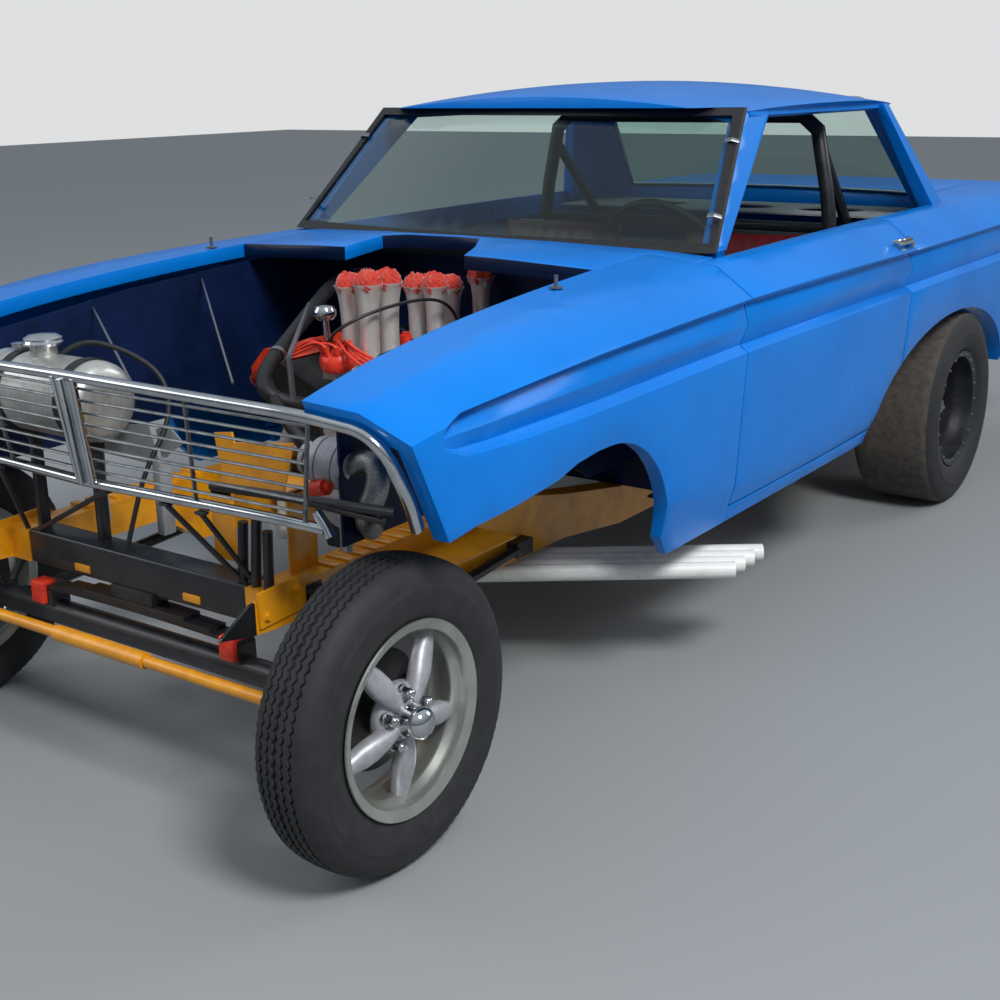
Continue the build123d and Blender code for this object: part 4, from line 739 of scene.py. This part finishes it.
class DRAGCAR_OT_engine_dressing(bpy.types.Operator):
    """Add bolts, distributor, leads, breather, pulleys, belt and hoses to the engine, and stay rods beside it"""
    bl_idname = "dragcar.engine_dressing"
    bl_label = "Engine dressing"

    def execute(self, context):
        zinc = bmesh.new()
        for s in (-1, 1):
            for y in (150, 280, 440, 570):
                for x, z in ((340, 748), (272, 806)):
                    along = Vector((s * 0.66, 0, 0.75))
                    bolt(zinc, Vector((s * x, y, z)) + along * 22, along, 7, 9)
        piece("rocker_cover_bolts", zinc, "zinc")
        cap = bmesh.new()
        turned(cap, [(0, 0), (44, 0), (48, 8), (48, 30), (42, 42), (30, 48), (0, 48)], (0, 72, 832),
               axis=(0, -0.25, 1), steps=40)
        for (x, y), (far_x, far_y) in zip(around(8, 32), around(8, 36)):
            rod(cap, (x, 62 + y, 868), (far_x, 57 + far_y, 894), 8, 7, sides=12)
        piece("distributor_cap", cap, "red")
        post = bmesh.new()
        rod(post, (0, 92, 770), (0, 74, 836), 30, 26, sides=28)
        piece("distributor_body", post, "cast")
        lead = context.scene.dragcar_sizes.lead / MM
        for side, s in SIDES:
            towers = around(8, 36, 0 if s > 0 else 180)
            for number, port in enumerate(SPARK_PORTS_Y):
                top = (towers[number][0], 57 + towers[number][1], 892)
                line(f"ignition_lead_{side}_{number}",
                     [top, (top[0] + s * 14, top[1] - 12, 912), (s * 96, 30 - number * 6, 892 - number * 8),
                      (s * 230, 60 - number * 8, 836 - number * 8), (s * 352, 96 + number * 6, 768),
                      (s * (398 - number * 4), (port + 130) / 2, 736), (s * 372, port, 716), (s * 306, port, 690)],
                     lead, "red")
        line("coil_lead", [(0, 57, 880), (4, 20, 915), (60, 60, 960), (98, 150, 985), (104, 300, 988), (100, 400, 965),
                           (92, 470, 900), (88, 500, 812)], 4.5, "lead")
        breather = bmesh.new()
        rod(breather, (-10, 44, 876), (-4, 30, 962), 9, sides=20)
        turned(breather, [(0, 0), (22, 4), (30, 16), (30, 26), (22, 38), (0, 42)], (-4, 30, 958), axis=UP, steps=32)
        piece("chrome_breather", breather, "chrome")
        pulleys = bmesh.new()
        turned(pulleys, [(0, 2), (80, 2), (84, -4), (84, -12), (76, -18), (84, -24), (84, -32), (76, -38), (84, -44),
                         (84, -56), (60, -64), (0, -66)], (0, 110, 480), axis=BACK, steps=64)
        turned(pulleys, [(0, 0), (68, 0), (72, -6), (64, -14), (72, -22), (70, -30), (40, -34), (36, -60), (0, -62)],
               (0, 96, 670), axis=BACK, steps=56)
        turned(pulleys, [(0, 96), (50, 96), (60, 84), (62, 70), (62, 26), (54, 14), (30, 10), (30, 0), (38, -4),
                         (30, -10), (38, -16), (0, -16)], (210, 14, 690), axis=BACK, steps=48)
        made = piece("front_pulleys", pulleys, "cast")
        case = bmesh.new()
        block(case, (-120, 60, 420), (120, 112, 640), 16)
        block(case, (-64, 44, 560), (64, 108, 760), 18)
        block(case, (20, 60, 676), (206, 84, 700), 5)
        rod(case, (70, 84, 640), (130, 40, 600), 26, sides=28)
        piece("timing_and_pump_case", case, "iron")
        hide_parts("engine_front")
        belt = bmesh.new()
        run = [(-80, 458), (-84, 480), (-78, 520), (-68, 690), (-40, 732), (0, 742), (60, 741), (200, 732),
               (238, 716), (246, 690), (236, 664), (180, 600), (76, 446), (40, 406), (0, 396), (-46, 406)]
        outer = [belt.verts.new(at(x, 78, z)) for x, z in run]
        middle = at(40, 78, 580)
        inner = [belt.verts.new(middle + (vert.co - middle) * 0.955) for vert in outer]
        bmesh.ops.bridge_loops(belt, edges=loop(belt, outer) + loop(belt, inner))
        thicken(belt, belt.faces, 11)
        piece("fan_belt", belt, "rubber", angle=50)
        line("radiator_hose", [(0, 40, 742), (-10, -60, 752), (-60, -140, 790), (-114, -100, 830),
                               (-180, 80, 890), (-245, 250, 945), (-302, 400, 990), (-330, 560, 1000),
                               (-334, 700, 960)], 20, "rubber")
        line("lower_hose", [(110, 40, 610), (160, -40, 600), (150, -140, 640), (60, -180, 720), (-60, -120, 790),
                            (-120, -80, 820)], 16, "rubber")
        clips = bmesh.new()
        for centre, axis in (((-150, 0, 862), (-0.36, 0.85, 0.4)), ((150, -130, 640), (0, -1, 0.5))):
            turned(clips, [(20, -6), (24, -6), (24, 6), (20, 6)], centre, axis=axis, steps=32)
        piece("hose_clips", clips, "zinc")
        stays = bmesh.new()
        rod(stays, (200, -313, 842), (200, -320, 944), 7, sides=16)
        rod(stays, (200, -320, 944), (-216, 200, 961), 6, sides=16)
        rod(stays, (-640, 202, 1024), (-60, -250, 842), 3.5, sides=12)
        rod(stays, (-640, -195, 991), (-130, -500, 880), 3.5, sides=12)
        piece("hood_stay_rods", stays, "zinc")
        return {"FINISHED"}


class DRAGCAR_OT_nose(bpy.types.Operator):
    """Dress the nose: tank, front beam, spring blocks, rail plates, shields, bracket, posts, generator and coil"""
    bl_idname = "dragcar.nose"
    bl_label = "Nose"

    RAIL_PLATE = [(-704, 540), (-552, 545), (-482, 496), (-533, 470), (-700, 462)]

    def execute(self, context):
        straps = bmesh.new()
        for x in TANK_STRAPS_X:
            turned(straps, [(93.5, -13), (96.5, -13), (96.5, 13), (93.5, 13)], (x, *TANK[1:]), steps=72)
            block(straps, (x - 13, -628, 742), (x + 13, -596, 768), 2)
        shell = bmesh.new()
        half = [(54, 190), (70, 188), (84, 180), (91, 168), (93, 152), (93, 120), (94.5, 116), (94.5, 110), (93, 106)]
        turned(shell, both_ways([(0, 190), (48, 191)] + half), TANK, steps=96)
        rod(shell, (-290, -612, 940), (-290, -612, 976), 31, sides=48)
        rod(shell, (-378, -612, 930), (-378, -612, 960), 16, sides=32)
        made = piece("spun_fuel_tank", shell, "spun", angle=30)
        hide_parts("fuel_tank")
        piece("tank_straps", straps, "rubber")
        caps = bmesh.new()
        turned(caps, [(0, 0), (44, 0), (46, 6), (42, 12), (44, 16), (30, 24), (0, 26)], (-290, -612, 974),
               axis=UP, steps=40)
        turned(caps, [(0, 0), (16, 0), (16, 22), (20, 24), (20, 34), (0, 36)], (-378, -612, 936), axis=UP, steps=28)
        piece("tank_caps", caps, "chrome")
        line("tank_vent_hose", [(-262, -600, 944), (-230, -560, 984), (-150, -500, 960), (-60, -460, 900),
                                (-30, -480, 800), (-40, -560, 700), (-60, -600, 560), (-60, -612, 528)], 6, "rubber")
        springs = bmesh.new()
        for x in (-320, 320):
            block(springs, (x - 34, -680, 350), (x + 14, -634, 408), 8, 4)
        piece("red_spring_blocks", springs, "red")
        tabs = bmesh.new()
        for x in (-169, 196):
            block(tabs, (x - 26, -664, 458), (x + 26, -650, 476), 2)
        beam = bmesh.new()
        block(beam, (-362, -660, 446), (362, -586, 530), 7, 3)
        block(beam, (-70, -667, 420), (70, -617, 450), 3)
        for start, end in (((222, -732, 705), (352, -640, 520)), ((-333, -736, 703), (-379, -640, 508)),
                           ((40, -735, 706), (-379, -640, 508)), ((333, -736, 703), (372, -630, 520))):
            rod(beam, start, end, 6, sides=16)
            block(beam, (start[0] - 13, start[1] - 9, 702), (start[0] + 13, start[1] + 9, 709), 2)
        for x in TANK_STRAPS_X:
            block(beam, (x - 9, -626, 526), (x + 9, -598, 770), 3)
        made = piece("front_beam", beam, "black")
        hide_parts("front_crossmember")
        piece("beam_tabs", tabs, "orange")
        plates = bmesh.new()
        for s in (-1, 1):
            skinned(plates, [[at(s * x, y, z) for y, z in self.RAIL_PLATE] for x in (438.5, 444)])
            bolt(plates, (s * 444, -680, 484), (s, 0, 0), 8, 7)
            bolt(plates, (s * 444, -590, 520), (s, 0, 0), 8, 7)
        piece("rail_end_plates", plates, "orange")
        ladder = bmesh.new()
        for s in (-1, 1):
            for y in range(-470, -101, 46):
                block(ladder, (s * 374, y, 526), (s * 446, y + 22, 534), 2)
            # Narrow ahead, where the front tyre sweeps at full lock
            block(ladder, (s * 420, -480, 470), (s * 456, -270, 476), 2)
            block(ladder, (s * 420, -280, 470), (s * 560, 60, 476), 2)
        piece("rail_ladder_plates", ladder, "orange")
        shield = bmesh.new()
        plate(shield, [(-264, -520, 706), (-143, -520, 785), (-61, -520, 795), (-33, -520, 699)], 3)
        plate(shield, [(-73, -490, 776), (-32, -490, 791), (18, -490, 754), (-25, -490, 729), (-60, -490, 700)], 3)
        block(shield, (-262, -522, 530), (-234, -514, 716), 2)
        block(shield, (-60, -522, 530), (-36, -486, 712), 2)
        piece("grey_shields", shield, "board")
        tray = bmesh.new()
        plate(tray, [(160, -560, 672), (212, -560, 726), (196, -560, 818), (250, -560, 826), (256, -560, 804),
                     (429, -560, 825), (392, -560, 707), (273, -560, 709), (234, -560, 672)], 5)
        block(tray, (170, -560, 529), (236, -552, 690), 2)
        block(tray, (240, -556, 704), (400, -440, 712), 2)
        block(tray, (392, -556, 529), (400, -470, 712), 2)
        piece("orange_bracket", tray, "orange")
        posts = bmesh.new()
        for start, end in (((350, -640, 664), (338, -640, 520)), ((391, -640, 682), (376, -640, 520)),
                           ((420, -640, 655), (414, -640, 520))):
            rod(posts, start, end, 11, sides=16)
        rod(posts, (300, -672, 742), (792, -668, 764), 10, sides=20)
        rod(posts, (538, -676, 752), (760, -668, 742), 7, sides=16)
        piece("nose_posts", posts, "black")
        unit = bmesh.new()
        turned(unit, [(0, -48), (34, -48), (48, -40), (52, -30), (52, -22), (48, -20), (52, -18), (52, 18), (48, 20),
                      (52, 22), (52, 30), (46, 40), (30, 48), (0, 48)], (545, -560, 800), axis=(1, 0.15, -0.1),
               steps=48)
        for v, w in around(10, 30):
            rod(unit, (496, v - 568, w + 806), (504, v - 567, w + 805), 6, sides=12)
        rod(unit, (500, -567, 804), (476, -571, 806), 11, sides=20)
        rod(unit, (488, -570, 805), (478, -571, 806), 34, sides=32)
        block(unit, (520, -556, 742), (556, -500, 770), 5)
        block(unit, (528, -540, 600), (548, -520, 750), 3)
        piece("generator", unit, "cast")
        line("cooling_duct", [(592, -560, 800), (626, -560, 824), (664, -566, 810), (668, -574, 770),
                              (650, -584, 726), (628, -570, 690), (600, -520, 660)], 25, "braid")
        coil = bmesh.new()
        rod(coil, (520, -600, 752), (560, -606, 764), 17, sides=24)
        rod(coil, (560, -606, 764), (572, -608, 768), 9, sides=16)
        piece("red_coil", coil, "red")
        return {"FINISHED"}


class DRAGCAR_OT_grille(bpy.types.Operator):
    """Build the bright grille: mouldings with round corners, divider, posts and thin bars"""
    bl_idname = "dragcar.grille"
    bl_label = "Grille"

    TOP = [(0, -778, 962), (640, -756, 952), (786, -746, 938), (828, -732, 900), (845, -692, 800), (836, -660, 738)]
    LOW = [(0, -742, 720), (540, -714, 720), (640, -700, 713)]
    BARS = 8

    def execute(self, context):
        frame_bars = bmesh.new()
        moulding(frame_bars, rounded(mirrored(self.TOP), 60, 8), 28, 22)
        moulding(frame_bars, rounded(mirrored(self.LOW), 60), 26, 20)
        for sign in (-1, 1):
            moulding(frame_bars, rounded([(sign * 622, -704, 748), (sign * 640, -701, 722), (sign * 652, -700, 700)],
                                         10), 20, 18)
        made = piece("grille_mouldings", frame_bars, "chrome", angle=50)
        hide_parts("grille")
        bars = bmesh.new()
        for index in range(self.BARS):
            share = (index + 1) / (self.BARS + 1)
            y = -742 - 36 * share + 6
            z = 720 + 242 * share
            end = 596 + 56 * share
            moulding(bars, mirrored([(0, y, z), (end, y + 22 + 8 * share, z - 8 * share)]), 10, 5.5, sides=8)
        for sign in (-1, 1):
            for low, high in (((596, -714, 722), (652, -750, 944)), ((300, -722, 722), (326, -756, 950))):
                moulding(bars, [(sign * x, y + 4, z) for x, y, z in (low, high)], 10, 7, sides=8)
        piece("grille_bars", bars, "bar", angle=50)
        rib = bmesh.new()
        for sign in (-1, 1):
            moulding(rib, [(sign * 25, -753, 722), (sign * 32, -788, 960)], 14, 10)
        moulding(rib, [(0, -764, 724), (0, -796, 958)], 16, 12)
        for sign in (-1, 1):
            plate(rib, [(sign * 24, -750, 724), (sign * 31, -785, 958), (0, -792, 958), (0, -760, 724)], 3)
        piece("grille_divider", rib, "chrome", angle=50)
        return {"FINISHED"}


class DRAGCAR_OT_cabin(bpy.types.Operator):
    """Build the padded seats, steering wheel and gauges"""
    bl_idname = "dragcar.cabin"
    bl_label = "Cabin"

    def execute(self, context):
        for side, sign in SIDES:
            pad(f"seat_cushion_{side}", (sign * SEAT_X, 1372, 548), (228, 196, 64), -3)
            pad(f"seat_back_{side}", (sign * SEAT_X, 1654, 806), (226, 240, 46), 78)
        shells = bmesh.new()
        for sign in (-1, 1):
            low, high = sorted((sign * 150, sign * 590))
            block(shells, (low, 1190, 412), (high, 1640, 510), 12)
            block(shells, (low, 1672, 540), (high, 1712, 1040), 14)
        for vert in shells.verts:
            rise = vert.co.z - SEAT_BEND_Z
            if vert.co.y - DRAWING_Y > SEAT_BACK_Y and rise > 0:
                vert.co.y += rise * SEAT_LEAN
        made = piece("seat_shells", shells, "vinyl")
        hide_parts("seats")
        centre = (360, 1130, 1010)
        tilt = Vector((0, 1, 0.42)).normalized()
        grip = bmesh.new()
        turned(grip, [(190 + r, h) for r, h in around(12, 12)], centre, axis=tilt, steps=72)
        made = piece("steering_wheel_grip", grip, "vinyl")
        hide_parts("steering_wheel")
        spokes = bmesh.new()
        place = Vector(centre)
        across = Vector((1, 0, 0))
        rise = tilt.cross(across).normalized()
        for angle in (0, math.pi, -math.pi / 2):
            out = across * math.cos(angle) - rise * math.sin(angle)
            moulding(spokes, [place, place + out * 90, place + out * 186], 6, 26, front=tilt, power=0.5)
        rod(spokes, place - tilt * 18, place + tilt * 16, 40, sides=40)
        rod(spokes, place + tilt * 16, place + tilt * 22, 34, 24, sides=40)
        rod(spokes, place - tilt * 290, place - tilt * 10, 20, sides=28)
        piece("steering_wheel_spokes", spokes, "zinc", angle=45)
        rings = bmesh.new()
        faces = bmesh.new()
        for x, z, r in GAUGES:
            turned(rings, [(r, -2), (r + 5, -2), (r + 5, 6), (r, 9)], (x, 907, z), axis=(0, 1, 0.12), steps=40)
            rod(faces, (x, 900, z - 1), (x, 911, z), r + 1, sides=40)
        piece("gauge_rings", rings, "chrome")
        piece("gauge_faces", faces, "black")
        return {"FINISHED"}


class DRAGCAR_OT_trim(bpy.types.Operator):
    """Add hood pins, windshield clips, round tail lamps, the rear glass moulding, door pulls and calipers"""
    bl_idname = "dragcar.trim"
    bl_label = "Trim"

    def execute(self, context):
        small = bmesh.new()
        for x, y, z in HOOD_PINS:
            rod(small, (x, y, z - 40), (x, y, z + 22), 5, sides=16)
            turned(small, [(5, -2), (16, -2), (16, 1), (5, 1)], (x, y, z - 6), axis=UP, steps=24)
        for sign in (-1, 1):
            for share in (0.2, 0.78):
                x, y, z = 733 - 92 * share, 716 + 342 * share, 1122 + 316 * share
                moulding(small, [(sign * (x - 26), y - 10, z + 2), (sign * (x - 4), y - 14, z + 4),
                                 (sign * (x + 12), y - 4, z - 2)], 5, 14, front=(0, -0.7, 0.7))
        piece("pins_and_clips", small, "zinc")
        red, rings = bmesh.new(), bmesh.new()
        for sign in (-1, 1):
            place = (sign * LAMP_X, LAMP_Y, LAMP_Z)
            turned(red, [(0, 58), (20, 57), (36, 53), (37, 50), (60, 46), (78, 40), (84, 34), (84, -20), (0, -20)],
                   place, axis=BACK, steps=64)
            for radius in (50, 64, 76):
                front = 52 - radius * 0.12
                turned(red, [(radius - 2, 30), (radius + 2, 30), (radius + 2, front), (radius - 2, front)], place,
                       axis=BACK, steps=64)
            turned(rings, [(84, 30), (92, 28), (94, 34), (90, 42), (84, 40)], place, axis=BACK, steps=64)
            turned(rings, [(36, 44), (42, 44), (42, 50), (36, 52)], place, axis=BACK, steps=40)
        made = piece("round_tail_lamps", red, "lens", angle=40)
        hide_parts("tail_lamps")
        rim = bmesh.new()
        # Upper and lower edge of the rear glass, bowed forwards towards its corners
        head = [(516 * u / 6, 2304 - 44 * (u / 6) ** 2, 1450) for u in range(7)]
        foot = [(598 * u / 6, 2712 - 114 * (u / 6) ** 2, 1104) for u in range(6, -7, -1)]
        moulding(rim, rounded(head + foot + [(-x, y, z) for x, y, z in reversed(head)], 24), 12, 26,
                 front=(0, 0.72, 0.69))
        piece("rear_glass_moulding", rim, "chrome", angle=50)
        piece("tail_lamp_rings", rings, "chrome")
        for side, sign in SIDES:
            handle = bmesh.new()
            moulding(handle, rounded([(880, 1650, 1036), (905, 1658, 1039), (906, 1742, 1039), (880, 1766, 1036)], 14),
                     9, 20, front=(1, 0, 0))
            rod(handle, (882, 1752, 1024), (908, 1752, 1024), 11, sides=24)
            rod(handle, (882, 1700, 1004), (902, 1700, 1004), 10, sides=24)
            made = piece(f"door_pull_{side}", handle, "chrome", f"door_{side}", side=sign)
            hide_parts(f"door_handle_{side}")
            caliper = bmesh.new()
            y, z = FRONT_WHEEL[1:]
            block(caliper, (672, y + 66, z - 46), (716, y + 134, z + 46), 9, 3)
            block(caliper, (640, y + 30, z - 30), (676, y + 96, z + 30), 5)
            piece(f"brake_caliper_{side}", caliper, "iron", f"knuckle_{side}", side=sign)
        return {"FINISHED"}


class DRAGCAR_OT_stage(bpy.types.Operator):
    """Set the floor, lamps, world and camera"""
    bl_idname = "dragcar.stage"
    bl_label = "Stage"

    def execute(self, context):
        scene = context.scene
        bm = bmesh.new()
        bmesh.ops.create_grid(bm, x_segments=2, y_segments=2, size=scene.dragcar_sizes.floor / 2)
        mesh = bpy.data.meshes.new("floor")
        bm.to_mesh(mesh)
        bm.free()
        floor = placed("floor", mesh)
        paint = bpy.data.materials.new("floor_paint")
        paint.use_nodes = True
        shader = paint.node_tree.nodes["Principled BSDF"]
        shader.inputs["Base Color"].default_value = scene.dragcar_colours.floor
        shader.inputs["Roughness"].default_value = 0.9
        mesh.materials.append(paint)
        for name, place, aim, size, power in LAMPS:
            light = bpy.data.lights.new(name, "AREA")
            light.shape = "DISK"
            light.size = size
            light.energy = power
            lamp = placed(name, light)
            lamp.location = place
            lamp.rotation_mode = "QUATERNION"
            lamp.rotation_quaternion = (Vector(aim) - Vector(place)).to_track_quat("-Z", "Y")
        world = bpy.data.worlds.new("studio")
        world.use_nodes = True
        tree = world.node_tree
        seen = tree.nodes["Background"]
        seen.inputs["Color"].default_value = scene.dragcar_colours.world
        seen.inputs["Strength"].default_value = 0.95
        place = node(tree, "ShaderNodeTexCoord")
        height = node(tree, "ShaderNodeSeparateXYZ", {}, {0: place.outputs["Generated"]})
        level = node(tree, "ShaderNodeMapRange", {"From Min": -0.05, "From Max": 0.7, "To Min": 0.12, "To Max": 0.75},
                     {"Value": height.outputs["Z"]})
        sky = node(tree, "ShaderNodeBackground", {"Color": linear("DDE6F0")}, {"Strength": level.outputs["Result"]})
        path = node(tree, "ShaderNodeLightPath")
        mix = node(tree, "ShaderNodeMixShader", {}, {0: path.outputs["Is Camera Ray"],
                                                     1: sky.outputs["Background"], 2: seen.outputs["Background"]})
        tree.links.new(mix.outputs["Shader"], tree.nodes["World Output"].inputs["Surface"])
        scene.world = world
        scene.view_settings.view_transform = "Standard"
        yaw, pitch, roll = (math.radians(angle) for angle in CAMERA_TURN)
        look = Vector((math.sin(yaw) * math.cos(pitch), math.cos(yaw) * math.cos(pitch), math.sin(pitch)))
        flat = Vector((math.cos(yaw), -math.sin(yaw), 0))
        rise = flat.cross(look)
        right = flat * math.cos(roll) + rise * math.sin(roll)
        up = rise * math.cos(roll) - flat * math.sin(roll)
        camera = placed("camera", bpy.data.cameras.new("camera"))
        camera.data.lens = CAMERA_LENS
        camera.data.sensor_width = 36
        camera.data.clip_end = 500
        turn = Matrix((right, up, -look)).transposed().to_4x4()
        camera.matrix_world = Matrix.Translation(CAMERA_PLACE) @ turn
        scene.camera = camera
        return {"FINISHED"}


class DRAGCAR_PT_panel(bpy.types.Panel):
    """Lists the steps that dress the car"""
    bl_idname = "DRAGCAR_PT_panel"
    bl_label = "Drag car"
    bl_space_type = "VIEW_3D"
    bl_region_type = "UI"
    bl_category = "Drag car"

    def draw(self, context):
        for group in (context.scene.dragcar_sizes, context.scene.dragcar_colours):
            for name in group.bl_rna.properties.keys():
                if name not in ("rna_type", "name"):
                    self.layout.prop(group, name)
        for operator in OPERATORS:
            self.layout.operator(operator.bl_idname)


OPERATORS = (
    DRAGCAR_OT_finishes,
    DRAGCAR_OT_front_tyres,
    DRAGCAR_OT_rear_tyres,
    DRAGCAR_OT_front_wheels,
    DRAGCAR_OT_rear_wheels,
    DRAGCAR_OT_trumpets,
    DRAGCAR_OT_engine_dressing,
    DRAGCAR_OT_nose,
    DRAGCAR_OT_grille,
    DRAGCAR_OT_cabin,
    DRAGCAR_OT_trim,
    DRAGCAR_OT_stage,
)
GROUPS = (DRAGCAR_PG_sizes, DRAGCAR_PG_colours)


def register():
    for cls in (*GROUPS, *OPERATORS, DRAGCAR_PT_panel):
        bpy.utils.register_class(cls)
    bpy.types.Scene.dragcar_sizes = bpy.props.PointerProperty(type=DRAGCAR_PG_sizes)
    bpy.types.Scene.dragcar_colours = bpy.props.PointerProperty(type=DRAGCAR_PG_colours)


def unregister():
    del bpy.types.Scene.dragcar_sizes
    del bpy.types.Scene.dragcar_colours
    for cls in reversed((*GROUPS, *OPERATORS, DRAGCAR_PT_panel)):
        bpy.utils.unregister_class(cls)


def main():
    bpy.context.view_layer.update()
    register()
    for operator in OPERATORS:
        group, name = operator.bl_idname.split(".")
        getattr(getattr(bpy.ops, group), name)()


if __name__ == "__main__":
    main()
